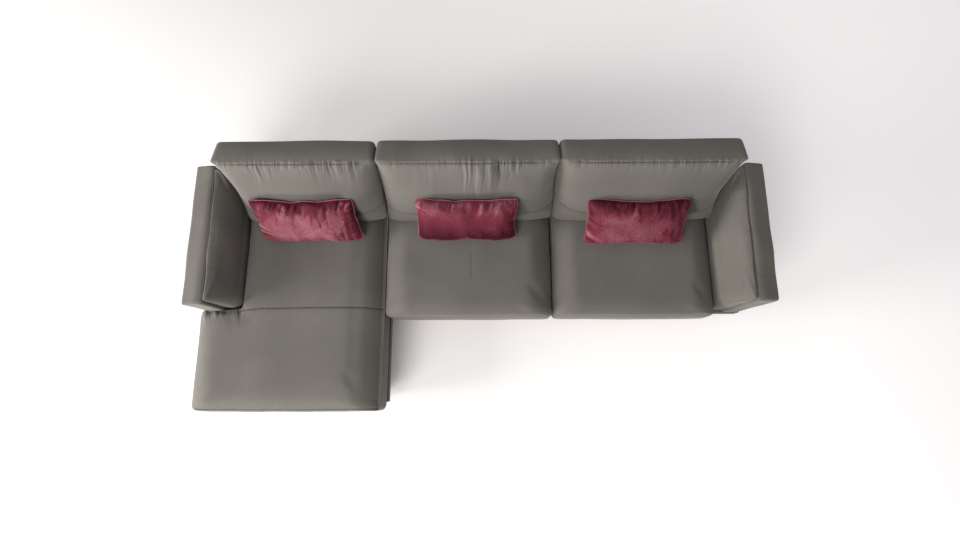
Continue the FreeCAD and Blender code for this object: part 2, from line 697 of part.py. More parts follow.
def scatter_form():
    """Loft a scatter cushion in its own plane, full at the middle and thin at its seam."""
    half_length, half_width = worth("Sizes.scatter_length") / 2, worth("Sizes.scatter_width") / 2
    corners = [
        (-half_length, -half_width),
        (half_length, -half_width),
        (half_length, half_width),
        (-half_length, half_width),
    ]
    radii = [worth("Sizes.scatter_corner")] * len(corners)
    bows = side_bows(corners, SCATTER_BOW_SHARE)
    run, swell = worth("Sizes.scatter_run"), worth("Sizes.scatter_thick") / 2
    upper = [(swell * sine, run * (1 - cosine)) for sine, cosine in quarter(ROUND_STEPS)]
    levels = [(-height, inset) for height, inset in reversed(upper[1:])] + upper
    wires = []
    for height, inset in levels:
        eased = [bow * (1 - inset / (run + swell)) for bow in bows]
        arcs = ring(corners, inset, radii, eased)
        wires.append(wire(arcs, lambda across, up, z=height: Vector(across, up, z)))
    return Part.makeLoft(wires, True, True)


def scatter_cushion(side, middle, tilt_share):
    """Stand a scatter cushion on the seat and lean it on the back cushion."""
    form = scatter_form()
    tilt = FreeCAD.Rotation(Vector(1, 0, 0), math.degrees(math.pi / 2 * tilt_share))
    rise = worth(BACK_FRONT_TOP) - worth(BACK_FOOT)
    slope = worth("Sizes.back_front_run") / rise
    lean = math.degrees(math.atan(slope))
    leaned = form.copy()
    leaned.Placement = FreeCAD.Placement(Vector(), tilt)
    up = worth(f"{SEAT_TOP} + Sizes.soft_gap") - leaned.optimalBoundingBox(False).ZMin
    upright = form.copy()
    straightened = FreeCAD.Rotation(Vector(1, 0, 0), lean).multiply(tilt)
    upright.Placement = FreeCAD.Placement(Vector(), straightened)
    reach = upright.optimalBoundingBox(False).YMax
    depth = math.hypot(1, slope)
    face_foot = worth(f"{PANEL_FACE} - Sizes.soft_gap - Sizes.back_foot_depth")
    face = face_foot - (worth("Sizes.back_crown + Sizes.soft_gap") + reach) * depth
    along = face + slope * (up - worth(BACK_FOOT))
    feature = soft(f"scatter_cushion_{side}", form)
    feature.Placement = FreeCAD.Placement(Vector(middle, along, up), tilt)


def build():
    """Make every sub-part of the sofa, from the floor up."""
    glides = []
    for name, left, right, front in BASES:
        feet = foot_places(left, right, front)
        base_rails(name, left, right, front, feet)
        dust_cover(name, left, right, front)
        for (end, side), (across, along) in feet.items():
            foot(f"foot_{name}_{end}_{side}", across, along)
            base = (across, along, "0")
            glides.append(rod(f"glide_{name}_{end}_{side}", base, "Sizes.glide_radius", "Sizes.glide_thick"))
    cross_rail(BASES[0][1], BASES[0][2])
    keep(group("foot_glides", glides), "foot_glides")
    connectors()

    inside = "Sizes.rail_thick + Sizes.strap_margin"
    webbing(
        "chaise",
        f"({PAD_LEFT} + Sizes.strap_margin)",
        f"({BASES[0][2]} - {inside})",
        BASES[0][3],
        CHAISE_STRAPS,
        short_strap=True,
    )
    webbing("centre", f"({BASES[1][1]} + {inside})", f"({BASES[1][2]} - {inside})", BASES[1][3], CENTRE_STRAPS)
    webbing("end", f"({BASES[2][1]} + {inside})", f"({PAD_RIGHT} - Sizes.strap_margin)", BASES[2][3], END_STRAPS)

    arm("left", f"(-{HALF_WIDTH})")
    arm("right", ARM_RIGHT)
    arm_pad("left", -1)
    arm_pad("right", 1)

    back_panel("chaise", f"({ARM_LEFT} + Sizes.soft_gap)", f"({JOINT_LEFT} - {HALF_GAP})")
    back_panel("centre", f"({JOINT_LEFT} + {HALF_GAP})", f"({JOINT_RIGHT} - {HALF_GAP})")
    back_panel("end", f"({JOINT_RIGHT} + {HALF_GAP})", f"({ARM_RIGHT} - Sizes.soft_gap)")

    seat_cushions()
    places = (
        ("chaise", PAD_LEFT, JOINT_LEFT, "left", LEFT_TILT_SHARE, LEFT_SHIFT_SHARE),
        ("centre", JOINT_LEFT, JOINT_RIGHT, "centre", CENTRE_TILT_SHARE, CENTRE_SHIFT_SHARE),
        ("end", JOINT_RIGHT, PAD_RIGHT, "right", RIGHT_TILT_SHARE, RIGHT_SHIFT_SHARE),
    )
    for name, low_side, high_side, side, tilt_share, shift_share in places:
        low, high = worth(low_side), worth(high_side)
        back_cushion(name, low, high)
        scatter_cushion(side, (low + high) / 2 + shift_share * (high - low), tilt_share)


def check():
    """Stop if an object failed or a sub-part isn't made of sound solids."""
    for thing in doc.Objects:
        if {"Invalid", "Error"} & set(thing.State):
            raise RuntimeError(f"{thing.Label} is {thing.State}")
    for thing in subparts:
        shape = thing.Shape
        if shape.isNull() or not shape.isValid() or not shape.Solids:
            raise RuntimeError(f"{thing.Label} has no sound solid")


def write():
    """Write each sub-part to a file of its own name."""
    os.makedirs("parts", exist_ok=True)
    for thing in subparts:
        thing.Shape.exportStep(f"parts/{thing.Label}.step")


build()
doc.recompute()
check()
write()
for thing in subparts:
    box = thing.Shape.BoundBox
    print(
        f"{thing.Label}: {len(thing.Shape.Solids)} solids, {thing.Shape.Volume / 1e6:.3f} l,"
        f" x {box.XMin:.1f} to {box.XMax:.1f}, y {box.YMin:.1f} to {box.YMax:.1f}, z {box.ZMin:.1f} to {box.ZMax:.1f}"
    )
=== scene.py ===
"""Looks of a corner sofa with a chaise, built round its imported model.

Lengths are in metres in the model's own frame: +X along the sofa, +Y to its back, +Z up.
"""

import json
import logging
from dataclasses import dataclass, field
from enum import Enum

import bpy
import numpy as np
from mathutils import Matrix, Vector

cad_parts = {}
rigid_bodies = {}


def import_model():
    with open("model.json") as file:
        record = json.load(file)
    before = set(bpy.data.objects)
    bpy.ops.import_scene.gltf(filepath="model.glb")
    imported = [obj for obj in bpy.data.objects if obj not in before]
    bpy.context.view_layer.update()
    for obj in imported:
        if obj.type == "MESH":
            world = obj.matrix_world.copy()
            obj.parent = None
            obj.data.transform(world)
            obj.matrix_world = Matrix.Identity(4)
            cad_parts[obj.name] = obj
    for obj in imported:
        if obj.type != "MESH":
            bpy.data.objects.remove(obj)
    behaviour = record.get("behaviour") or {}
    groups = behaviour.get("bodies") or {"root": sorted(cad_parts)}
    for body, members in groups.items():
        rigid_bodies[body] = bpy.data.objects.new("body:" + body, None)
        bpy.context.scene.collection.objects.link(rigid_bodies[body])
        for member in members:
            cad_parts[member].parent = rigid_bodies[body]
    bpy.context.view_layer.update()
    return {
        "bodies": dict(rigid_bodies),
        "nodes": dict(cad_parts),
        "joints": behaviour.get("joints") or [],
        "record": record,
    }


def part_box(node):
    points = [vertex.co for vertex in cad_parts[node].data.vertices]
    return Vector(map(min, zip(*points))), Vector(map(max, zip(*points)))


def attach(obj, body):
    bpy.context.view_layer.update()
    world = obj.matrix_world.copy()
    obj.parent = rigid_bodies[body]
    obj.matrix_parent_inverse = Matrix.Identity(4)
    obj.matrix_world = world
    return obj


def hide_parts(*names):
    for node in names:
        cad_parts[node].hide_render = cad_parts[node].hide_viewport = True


Array = np.ndarray
LOG = logging.getLogger("sofa")
MM = 0.001


class Body(Enum):
    """The parts of the sofa that move on their own, and the frame that carries them."""

    FRAME = "frame"
    CHAISE_BACK = "chaise_back"
    CENTRE_BACK = "centre_back"
    END_BACK = "end_back"
    SCATTER_LEFT = "scatter_left"
    SCATTER_CENTRE = "scatter_centre"
    SCATTER_RIGHT = "scatter_right"


class Slot(Enum):
    """The record's material slots that new pieces take."""

    COVER = "cover_fabric"
    VELVET = "velvet"
    FOAM = "foam"


class Side(Enum):
    """An end of the sofa, with the sign of its X."""

    LEFT = -1
    RIGHT = 1


# Plain helpers: colours, noise and closed loops.


def linear(code: str) -> tuple[float, float, float, float]:
    """Turn an sRGB hex colour into the linear one that shaders take.

    Args:
        code: Six hex digits after a hash.

    Returns:
        Red, green, blue and a full alpha.
    """
    srgb = np.array([int(code[k : k + 2], 16) for k in (1, 3, 5)]) / 255
    values = np.where(srgb <= 0.04045, srgb / 12.92, ((srgb + 0.055) / 1.055) ** 2.4)
    return (*values.tolist(), 1.0)


def smooth(value: Array, low: float, high: float) -> Array:
    """Rise smoothly from 0 at low to 1 at high."""
    share = np.clip((value - low) / (high - low), 0, 1)
    return share * share * (3 - 2 * share)


def rounding(near: Array, run: float) -> Array:
    """Fall from 1 at an end to 0 at a distance of run from it, as a quarter ellipse does."""
    return 1 - np.sqrt(np.clip(1 - (1 - np.clip(near / run, 0, 1)) ** 2, 0, 1))


def ripple(along: Array, spacing: float, seed: int) -> Array:
    """Uneven wave along a line: random heights every spacing, joined by smooth steps.

    Args:
        along: Place along the line.
        spacing: Distance between two heights.
        seed: Number that picks the heights.

    Returns:
        Heights from -1 to 1.
    """
    knots = np.random.default_rng(seed).uniform(-1, 1, 4096)
    place = along / spacing + 64
    base = np.floor(place).astype(int)
    share = smooth(place - base, 0, 1)
    return knots[base % 4096] * (1 - share) + knots[(base + 1) % 4096] * share


def swell_noise(points: Array, wavelength: float, seed: int, waves: int = 9) -> Array:
    """Soft unevenness in space: the mean of sine waves in random directions, near one wavelength.

    Args:
        points: Places, one row each.
        wavelength: Typical distance between two humps.
        seed: Number that picks the directions.
        waves: How many sines are added.

    Returns:
        Heights, mostly from -1 to 1.
    """
    random = np.random.default_rng(seed)
    ways = random.normal(size=(waves, 3))
    lengths = np.linalg.norm(ways, axis=1, keepdims=True)
    ways *= 2 * np.pi / wavelength * random.uniform(0.7, 1.4, (waves, 1)) / lengths
    return np.sin(points @ ways.T + random.uniform(0, 2 * np.pi, waves)).sum(1) / np.sqrt(waves)


def inset_corners(corners: Array, inset: float) -> Array:
    """Move each corner of an anticlockwise outline so that all its sides move in by the same amount."""
    sides = np.roll(corners, -1, 0) - corners
    inward = np.stack([-sides[:, 1], sides[:, 0]], 1) / np.linalg.norm(sides, axis=1, keepdims=True)
    before = np.roll(inward, 1, 0)
    return corners + inset * (before + inward) / (1 + (before * inward).sum(1, keepdims=True))


def side_counts(corners: Array, step: float) -> Array:
    """Count the points that each side of an outline needs for a rough distance between them."""
    spans = np.linalg.norm(np.roll(corners, -1, 0) - corners, axis=1)
    return np.maximum(2, np.round(spans / step)).astype(int)


def rounded_loop(corners: Array, radii: Array, bows: Array, arc_steps: int, counts: Array) -> Array:
    """Round an anticlockwise outline into a loop of points.

    Each corner is an arc that touches its two sides, turned evenly from one side to the other. Each side
    swells outward by its bow as a parabola of the way along it.

    Args:
        corners: Corners, one row each.
        radii: A radius for each corner.
        bows: A bow for the side after each corner.
        arc_steps: Points on each arc.
        counts: Points on each straight side.

    Returns:
        The loop's points.
    """
    back = np.roll(corners, 1, 0) - corners
    ahead = np.roll(corners, -1, 0) - corners
    back /= np.linalg.norm(back, axis=1, keepdims=True)
    ahead /= np.linalg.norm(ahead, axis=1, keepdims=True)
    half = np.arccos(np.clip((back * ahead).sum(1), -1, 1))[:, None] / 2
    middle = (back + ahead) / np.linalg.norm(back + ahead, axis=1, keepdims=True)
    radius = np.asarray(radii, float)[:, None]
    centre = corners + middle * radius / np.sin(half)
    start, end = corners + back * radius / np.tan(half), corners + ahead * radius / np.tan(half)
    turn = (np.pi - 2 * half)[:, None]
    share = np.linspace(0, 1, arc_steps)[None, :, None]
    first_arm = np.sin((1 - share) * turn) * (start - centre)[:, None]
    last_arm = np.sin(share * turn) * (end - centre)[:, None]
    arcs = centre[:, None] + (first_arm + last_arm) / np.sin(turn)
    pieces = []
    for arc, first, last, bow, count in zip(arcs, end, np.roll(start, -1, 0), bows, counts):
        way = np.linspace(0, 1, count + 2)[1:-1, None]
        along = last - first
        outward = np.array([along[1], -along[0]]) / np.linalg.norm(along)
        pieces += [arc, first + along * way + outward * bow * 4 * way * (1 - way)]
    return np.concatenate(pieces)


def nearest_on(points: Array, line: Array, weights: Array) -> tuple[Array, Array]:
    """Find how far points are from a line of straight runs, and where along it.

    Args:
        points: Places, one row each.
        line: The line's points.
        weights: How much each axis counts; 0 leaves it out.

    Returns:
        Distance from the line and distance along it.
    """
    flat, knots = points * weights, line * weights
    start, run = knots[:-1], knots[1:] - knots[:-1]
    lengths = np.linalg.norm(run, axis=1)
    share = np.clip(((flat[:, None] - start) * run).sum(2) / lengths**2, 0, 1)
    gaps = np.linalg.norm(flat[:, None] - start - share[..., None] * run, axis=2)
    best = gaps.argmin(1)
    rows = np.arange(len(points))
    before = np.concatenate([[0], np.cumsum(lengths)[:-1]])
    return gaps[rows, best], before[best] + share[rows, best] * lengths[best]


# Meshes.


def put_mesh(name: str, points: Array, quads: Array, caps: tuple[Array, ...] = ()) -> bpy.types.Object:
    """Make an object from points, four-sided faces and any many-sided caps.

    Args:
        name: Name of the object and its mesh.
        points: Places, one row each.
        quads: Four point numbers a row.
        caps: Point numbers of each larger face.

    Returns:
        The object, in the scene at the origin.
    """
    mesh = bpy.data.meshes.new(name)
    mesh.vertices.add(len(points))
    mesh.vertices.foreach_set("co", np.asarray(points, np.float32).ravel())
    corners = np.concatenate([quads.ravel(), *caps]).astype(np.int32)
    sizes = np.array([4] * len(quads) + [len(cap) for cap in caps], np.int32)
    mesh.loops.add(len(corners))
    mesh.loops.foreach_set("vertex_index", corners)
    mesh.polygons.add(len(sizes))
    mesh.polygons.foreach_set("loop_start", np.concatenate([[0], np.cumsum(sizes)[:-1]]).astype(np.int32))
    mesh.update(calc_edges=True)
    mesh.validate()
    mesh.polygons.foreach_set("use_smooth", np.ones(len(mesh.polygons), bool))
    made = bpy.data.objects.new(name, mesh)
    bpy.context.scene.collection.objects.link(made)
    return made


def ring_faces(rings: int, around: int) -> Array:
    """Number the four-sided faces between closed rings of points, outward when rings climb anticlockwise."""
    low = np.arange(around)
    high = (low + 1) % around
    base = np.arange(rings - 1)[:, None] * around
    return np.stack([base + low, base + high, base + around + high, base + around + low], 2).reshape(-1, 4)


def closed_shell(name: str, rings: Array) -> bpy.types.Object:
    """Join rings of points into a closed surface with a cap at each end.

    Args:
        name: Name of the piece.
        rings: Array of rings by points by three.

    Returns:
        The object.
    """
    count, around = rings.shape[:2]
    first = np.arange(around)[::-1]
    last = np.arange(around) + (count - 1) * around
    return put_mesh(name, rings.reshape(-1, 3), ring_faces(count, around), (first, last))


def mesh_points(made: bpy.types.Object) -> tuple[Array, Array]:
    """Read an object's points and their outward directions."""
    mesh = made.data
    count = len(mesh.vertices) * 3
    points, normals = np.empty(count, np.float32), np.empty(count, np.float32)
    mesh.vertices.foreach_get("co", points)
    mesh.vertex_normals.foreach_get("vector", normals)
    return points.reshape(-1, 3).astype(float), normals.reshape(-1, 3).astype(float)


def set_points(made: bpy.types.Object, points: Array) -> None:
    """Write an object's points."""
    made.data.vertices.foreach_set("co", np.asarray(points, np.float32).ravel())
    made.data.update()


def settle(made: bpy.types.Object) -> None:
    """Turn what an object's modifiers make into its own mesh."""
    graph = bpy.context.evaluated_depsgraph_get()
    mesh = bpy.data.meshes.new_from_object(made.evaluated_get(graph))
    made.modifiers.clear()
    made.data = mesh
    mesh.polygons.foreach_set("use_smooth", np.ones(len(mesh.polygons), bool))


def remesh(made: bpy.types.Object, voxel: float) -> None:
    """Rebuild an object's surface in even squares."""
    change = made.modifiers.new("even_squares", "REMESH")
    change.mode = "VOXEL"
    change.voxel_size = voxel
    change.use_smooth_shade = True
    settle(made)


def relax(made: bpy.types.Object, rounds: int) -> None:
    """Smooth a surface by moving its points halfway to their neighbours' mean, a number of times."""
    change = made.modifiers.new("relax", "SMOOTH")
    change.factor, change.iterations = 0.5, rounds
    settle(made)


def refine(made: bpy.types.Object, levels: int = 1) -> None:
    """Subdivide an object smoothly."""
    change = made.modifiers.new("finer", "SUBSURF")
    change.levels = change.render_levels = levels
    settle(made)


def spread(path: Array, step: float) -> Array:
    """Put even points on a path of straight runs, then round its corners by averaging neighbours."""
    along = np.concatenate([[0], np.cumsum(np.linalg.norm(np.diff(path, axis=0), axis=1))])
    places = np.linspace(0, along[-1], max(4, round(along[-1] / step)))
    points = np.column_stack([np.interp(places, along, path[:, k]) for k in range(3)])
    points[1:-1] = (points[:-2] + 2 * points[1:-1] + points[2:]) / 4
    return points


def tube(
    name: str, path: Array, radius: float, normal: Array, closed: bool, sides: int = 10
) -> bpy.types.Object:
    """Carry a circle along a path.

    Args:
        name: Name of the piece.
        path: Points of its middle line.
        radius: Radius of the circle.
        normal: A direction that the path never takes.
        closed: Whether the path's ends meet.
        sides: Points round the circle.

    Returns:
        The piece.
    """
    if closed:
        tangent = np.roll(path, -1, 0) - np.roll(path, 1, 0)
    else:
        tangent = np.gradient(path, axis=0)
    tangent /= np.linalg.norm(tangent, axis=1, keepdims=True)
    first = np.cross(tangent, normal)
    first /= np.linalg.norm(first, axis=1, keepdims=True)
    second = np.cross(tangent, first)
    angle = np.arange(sides) * 2 * np.pi / sides
    spokes = np.cos(angle)[None, :, None] * first[:, None] + np.sin(angle)[None, :, None] * second[:, None]
    rings = path[:, None] + radius * spokes
    if not closed:
        return closed_shell(name, rings)
    faces = ring_faces(len(path) + 1, sides) % (len(path) * sides)
    return put_mesh(name, rings.reshape(-1, 3), faces)


# Cloth that is blown up from inside.


@dataclass
class Swelling:
    """Blows padded covers up with cloth simulation, all of them in one run.

    Attributes:
        frames: Steps of the run.
        waiting: Each piece with the most that its points may move and their places before the run.
    """

    frames: int = 20
    waiting: list[tuple[bpy.types.Object, float, Array]] = field(default_factory=list)

    def add(
        self, made: bpy.types.Object, held: Array, pressure: float, cap: float, bending: float = 0.5
    ) -> None:
        """Prepare a piece for the run.

        Args:
            made: The piece.
            held: For each point, 1 where the cover is held and 0 where it is free.
            pressure: Pressure inside.
            cap: The most that a point may move.
            bending: How stiff the cover is.
        """
        group = made.vertex_groups.new(name="held")
        for level in np.unique(np.round(held, 2)):
            members = np.flatnonzero(np.round(held, 2) == level)
            group.add(members.tolist(), float(level), "REPLACE")
        self.waiting.append((made, cap, mesh_points(made)[0]))
        cloth = made.modifiers.new("swell", "CLOTH")
        cloth.point_cache.frame_start, cloth.point_cache.frame_end = 1, self.frames
        rules = cloth.settings
        rules.quality = 5
        rules.mass = 0.3
        rules.air_damping = 2
        rules.tension_stiffness = rules.compression_stiffness = 20
        rules.shear_stiffness = 8
        rules.bending_stiffness = bending
        rules.use_pressure = True
        rules.uniform_pressure_force = pressure
        rules.effector_weights.gravity = 0
        rules.vertex_group_mass = "held"
        cloth.collision_settings.use_collision = False

    def run(self) -> None:
        """Step the simulation, cap how far each point moved and keep the result."""
        scene = bpy.context.scene
        scene.frame_start, scene.frame_end = 1, self.frames
        for frame in range(1, self.frames + 1):
            scene.frame_set(frame)
        for made, cap, before in self.waiting:
            settle(made)
            moved = mesh_points(made)[0] - before
            length = np.linalg.norm(moved, axis=1, keepdims=True) + 1e-9
            set_points(made, before + moved / length * cap * np.tanh(length / cap))
        scene.frame_set(1)
        self.waiting.clear()


# Sewing: seams and folds moved into a finished mesh.


@dataclass(frozen=True)
class SewnLine:
    """A line in a cover, which shows on one side of it.

    Attributes:
        line: Points of the line.
        facing: Direction that the surface faces where the line shows.
        weights: How much each axis counts for the distance.
    """

    line: Array
    facing: tuple[float, float, float]
    weights: tuple[float, float, float] = (1, 1, 1)

    def measure(self, points: Array, normals: Array, low: float, high: float) -> tuple[Array, Array, Array]:
        """Give each point its distance off the line, its place along it and how much it faces the line's way.

        Args:
            points: Places, one row each.
            normals: Outward directions, one row each.
            low: Cosine of the turn away at which a point starts to count.
            high: Cosine from which it counts in full.

        Returns:
            Distances off the line, places along it, and shares from 0 to 1.
        """
        gap, along = nearest_on(points, np.asarray(self.line, float), np.asarray(self.weights, float))
        way = np.asarray(self.facing, float)
        return gap, along, smooth(normals @ (way / np.linalg.norm(way)), low, high)


@dataclass(frozen=True)
class Seam(SewnLine):
    """A sewn line that draws the cover in.

    Attributes:
        width: Half width of the groove.
        depth: Depth of the groove.
        puff: How far the cloth beside it stands up.
        reach: How far from the line the puff ends.
        puckers: Height of the small folds across the seam.
        spacing: Distance between those folds.
        seed: Number that picks the folds.
        drawn: How dark its hairline is, from 0 to 1.
    """

    width: float = 4 * MM
    depth: float = 4 * MM
    puff: float = 1 * MM
    reach: float = 30 * MM
    puckers: float = 0
    spacing: float = 14 * MM
    seed: int = 1
    drawn: float = 0.7

    def fold_map(self, points: Array, normals: Array) -> Array:
        """Give each point its place along and off the seam and how strongly fine folds show there."""
        gap, along, seen = self.measure(points, normals, 0.1, 0.5)
        strength = seen * np.exp(-gap / (0.5 * self.reach)) * min(1.0, self.puckers / (1 * MM))
        return np.column_stack([along, gap, strength])

    def stitch_map(self, points: Array, normals: Array) -> Array:
        """Give each point its place along the seam, its signed distance off it and how near it is.

        The sign changes across the seam, so that the shader can draw a hairline between two points.
        """
        line = np.asarray(self.line, float)
        gap, along, seen = self.measure(points, normals, 0.1, 0.5)
        knots = np.concatenate([[0], np.cumsum(np.linalg.norm(np.diff(line * self.weights, axis=0), axis=1))])
        run = np.clip(np.searchsorted(knots, along) - 1, 0, len(line) - 2)
        across = np.cross(
            line[run + 1] - line[run], np.asarray(self.facing, float) / np.linalg.norm(self.facing)
        )
        side = np.sign(((points - line[run]) * across).sum(1))
        fade = 6 * MM
        within = smooth(along, 0, fade) * (1 - smooth(along, knots[-1] - fade, knots[-1]))
        near = self.drawn * seen * within * np.exp(-((gap / (10 * MM)) ** 4))
        return np.column_stack([along, gap * side, near])

    def move(self, points: Array, normals: Array) -> Array:
        """Work out how far points move outward.

        The groove is a bell of the distance over the width. The puff is the distance over the reach times
        its falling exponential. The puckers are a ripple along the seam that fades with the distance.
        """
        gap, along, seen = self.measure(points, normals, 0.1, 0.5)
        groove = -self.depth * np.exp(-((gap / self.width) ** 2))
        share = gap / self.reach
        puff = self.puff * share * np.exp(1 - share)
        folds = self.puckers * ripple(along, self.spacing, self.seed) * share * np.exp(1 - 3 * share) * 2
        return seen * (groove + puff + folds)


@dataclass(frozen=True)
class Gathers(SewnLine):
    """Folds that run away from a sewn edge, where the cover has more cloth than the seam.

    Attributes:
        height: Height of the folds.
        spacing: Distance between folds.
        reach: How far the longest fold runs.
        slant: How far a fold leans along the edge for each metre away from it.
        patch: Length over which folds come and go.
        seed: Number that picks the folds.
    """

    height: float = 3 * MM
    spacing: float = 16 * MM
    reach: float = 80 * MM
    slant: float = 0
    patch: float = 120 * MM
    seed: int = 1

    def fold_map(self, points: Array, normals: Array) -> Array:
        """Give each point its place along and off the edge and how strongly fine folds show there."""
        gap, along, seen = self.measure(points, normals, 0.25, 0.6)
        patch = 0.35 + 0.65 * smooth(ripple(along, self.patch, self.seed + 3), -0.7, 0.5)
        strength = seen * patch * np.exp(-gap / (0.45 * self.reach)) * min(1.0, self.height / (3 * MM))
        return np.column_stack([along + self.slant * gap, gap, strength])

    def move(self, points: Array, normals: Array) -> Array:
        """Work out how far points move outward.

        A fold is a sharpened ripple along the edge. Its length comes from a second ripple, and a third
        one makes the folds come and go. It starts at once at the edge and dies away along its length.
        """
        gap, along, seen = self.measure(points, normals, 0.25, 0.6)
        place = along + self.slant * gap + 0.25 * self.spacing * ripple(gap, 3 * self.spacing, self.seed + 4)
        wave = ripple(place, self.spacing, self.seed) + 0.5 * ripple(place, self.spacing / 2, self.seed + 1)
        fold = np.sign(wave) * np.abs(wave) ** 1.3
        length = self.reach * (
            0.35 + 0.65 * smooth(ripple(place, 1.5 * self.spacing, self.seed + 2), -0.6, 0.9)
        )
        strength = smooth(ripple(along, self.patch, self.seed + 3), -0.7, 0.5)
        start, fading = 1 - np.exp(-gap / (6 * MM)), np.exp(-((gap / length) ** 2))
        return seen * self.height * strength * fold * start * fading


Sewing = Seam | Gathers


def store(made: bpy.types.Object, name: str, values: Array) -> None:
    """Keep a number or a vector for each point of a piece, for its material to read."""
    plain = values.ndim == 1
    layer = made.data.attributes.new(name, "FLOAT" if plain else "FLOAT_VECTOR", "POINT")
    layer.data.foreach_set("value" if plain else "vector", values.astype(np.float32).ravel())


def sew(
    made: bpy.types.Object, work: list[Sewing], dents: float = 0, dent_size: float = 0.25, seed: int = 1
) -> None:
    """Move seams, gathers and soft dents into a piece, and store how deep each point lies.

    Args:
        made: The piece.
        work: Its seams and gathers.
        dents: Height of the soft unevenness.
        dent_size: Distance between soft humps.
        seed: Number that picks the dents.
    """
    points, normals = mesh_points(made)
    moved = sum((part.move(points, normals) for part in work), np.zeros(len(points)))
    soft = dents * swell_noise(points, dent_size, seed)
    set_points(made, points + normals * (moved + soft)[:, None])
    # The depth is painted into the cloth's colour: painted shade in grooves, creases and fold troughs, and
    # painted highlight on puffs and fold tops.
    store(made, "depth", np.clip(moved / (4 * MM), -1, 1))
    rows = np.arange(len(points))
    if work:
        maps = np.array([part.fold_map(points, normals) for part in work])
        store(made, "folds", maps[maps[..., 2].argmax(0), rows])
    seams = [part for part in work if isinstance(part, Seam)]
    if seams:
        maps = np.array([part.stitch_map(points, normals) for part in seams])
        store(made, "stitch", maps[maps[..., 2].argmax(0), rows])


# Finishes.


def add_node(tree: bpy.types.NodeTree, kind: str, sockets: dict | None = None, **settings) -> bpy.types.Node:
    """Add a shader node with its settings and links.

    Args:
        tree: The material's tree.
        kind: Node type without its prefix.
        sockets: For each input, a value or the output that feeds it.
        settings: Properties of the node.

    Returns:
        The node.
    """
    made = tree.nodes.new("ShaderNode" + kind)
    for key, value in settings.items():
        setattr(made, key, value)
    for key, value in (sockets or {}).items():
        if isinstance(value, bpy.types.NodeSocket):
            tree.links.new(value, made.inputs[key])
        else:
            made.inputs[key].default_value = value
    return made


def new_material(name: str) -> tuple[bpy.types.Material, bpy.types.NodeTree]:
    """Make an empty node material."""
    made = bpy.data.materials.new(name)
    made.use_nodes = True
    made.node_tree.nodes.clear()
    return made, made.node_tree


def ramp(
    tree: bpy.types.NodeTree, factor: bpy.types.NodeSocket, stops: list[tuple[float, str]]
) -> bpy.types.NodeSocket:
    """Turn a factor into a colour through stops of place and hex colour."""
    made = add_node(tree, "ValToRGB", {"Fac": factor})
    points = made.color_ramp.elements
    while len(points) < len(stops):
        points.new(1)
    for point, (place, code) in zip(points, stops):
        point.position = place
        point.color = linear(code)
    return made.outputs["Color"]


def surface(tree: bpy.types.NodeTree, shader: bpy.types.Node) -> None:
    """Send a shader to the material's output."""
    add_node(tree, "OutputMaterial", {"Surface": shader.outputs[0]})


def seen_directly(tree: bpy.types.NodeTree) -> bpy.types.NodeSocket:
    """Give 1 to rays of the camera, of mirrors and through glass, and 0 to the ones that carry light."""
    path = add_node(tree, "LightPath").outputs
    seen = add_node(tree, "Math", {0: path["Is Camera Ray"], 1: path["Is Glossy Ray"]}, operation="MAXIMUM")
    seen = add_node(tree, "Math", {0: seen.outputs[0], 1: path["Is Transmission Ray"]}, operation="MAXIMUM")
    return seen.outputs[0]


def fine_folds(
    tree: bpy.types.NodeTree, spacing: float, length: float
) -> tuple[bpy.types.NodeSocket, bpy.types.NodeSocket]:
    """Draw the folds that are finer than the mesh from the "folds" attribute of a sewn piece.

    Args:
        tree: The material's tree.
        spacing: Distance between folds along the seam.
        length: How long a fold stays the same.

    Returns:
        The folds' height from 0 to 1, and a small change of tone: painted highlight on their crests and
        painted shade in their troughs.
    """
    place = add_node(tree, "Attribute", attribute_name="folds").outputs["Vector"]
    strength = add_node(tree, "SeparateXYZ", {"Vector": place}).outputs["Z"]
    scaled = add_node(tree, "Mapping", {"Vector": place, "Scale": (1 / spacing, 1 / length, 0.0)}).outputs[0]
    noise = add_node(tree, "TexNoise", {"Vector": scaled, "Scale": 1.0, "Detail": 1.0}).outputs["Fac"]
    wave = add_node(tree, "MapRange", {0: noise, 1: 0.3, 2: 0.7, 3: -0.5, 4: 0.5}).outputs[0]
    height = add_node(tree, "Math", {0: wave, 1: strength}, operation="MULTIPLY").outputs[0]
    # Painted highlight and shade: the tone rises on fold crests and falls in their troughs.
    fold_painted_light = add_node(tree, "Math", {0: height, 1: 0.35}, operation="MULTIPLY").outputs[0]
    return height, fold_painted_light


def stitch_line(tree: bpy.types.NodeTree, width: float, stitch: float) -> bpy.types.NodeSocket:
    """Draw a seam's hairline and its stitches from the "stitch" attribute of a sewn piece.

    The line is a bell of the distance over the width. The stitches make it a little fainter and stronger.

    Args:
        tree: The material's tree.
        width: Half width of the line.
        stitch: Length of a stitch and the gap after it.

    Returns:
        How deep the line is, from 0 to 1.
    """
    place = add_node(tree, "Attribute", attribute_name="stitch").outputs["Vector"]
    split = add_node(tree, "SeparateXYZ", {"Vector": place}).outputs
    gap = add_node(tree, "Math", {0: split["Y"]}, operation="ABSOLUTE").outputs[0]
    near = add_node(
        tree, "MapRange", {0: gap, 1: 0.0, 2: width, 3: 1.0, 4: 0.0}, interpolation_type="SMOOTHSTEP"
    ).outputs[0]
    angle = add_node(tree, "Math", {0: split["X"], 1: 2 * np.pi / stitch}, operation="MULTIPLY").outputs[0]
    beat = add_node(tree, "Math", {0: angle}, operation="SINE").outputs[0]
    beat = add_node(tree, "MapRange", {0: beat, 1: -0.4, 2: 0.4, 3: 0.7, 4: 1.0}).outputs[0]
    strong = add_node(tree, "Math", {0: near, 1: split["Z"]}, operation="MULTIPLY").outputs[0]
    return add_node(tree, "Math", {0: strong, 1: beat}, operation="MULTIPLY").outputs[0]


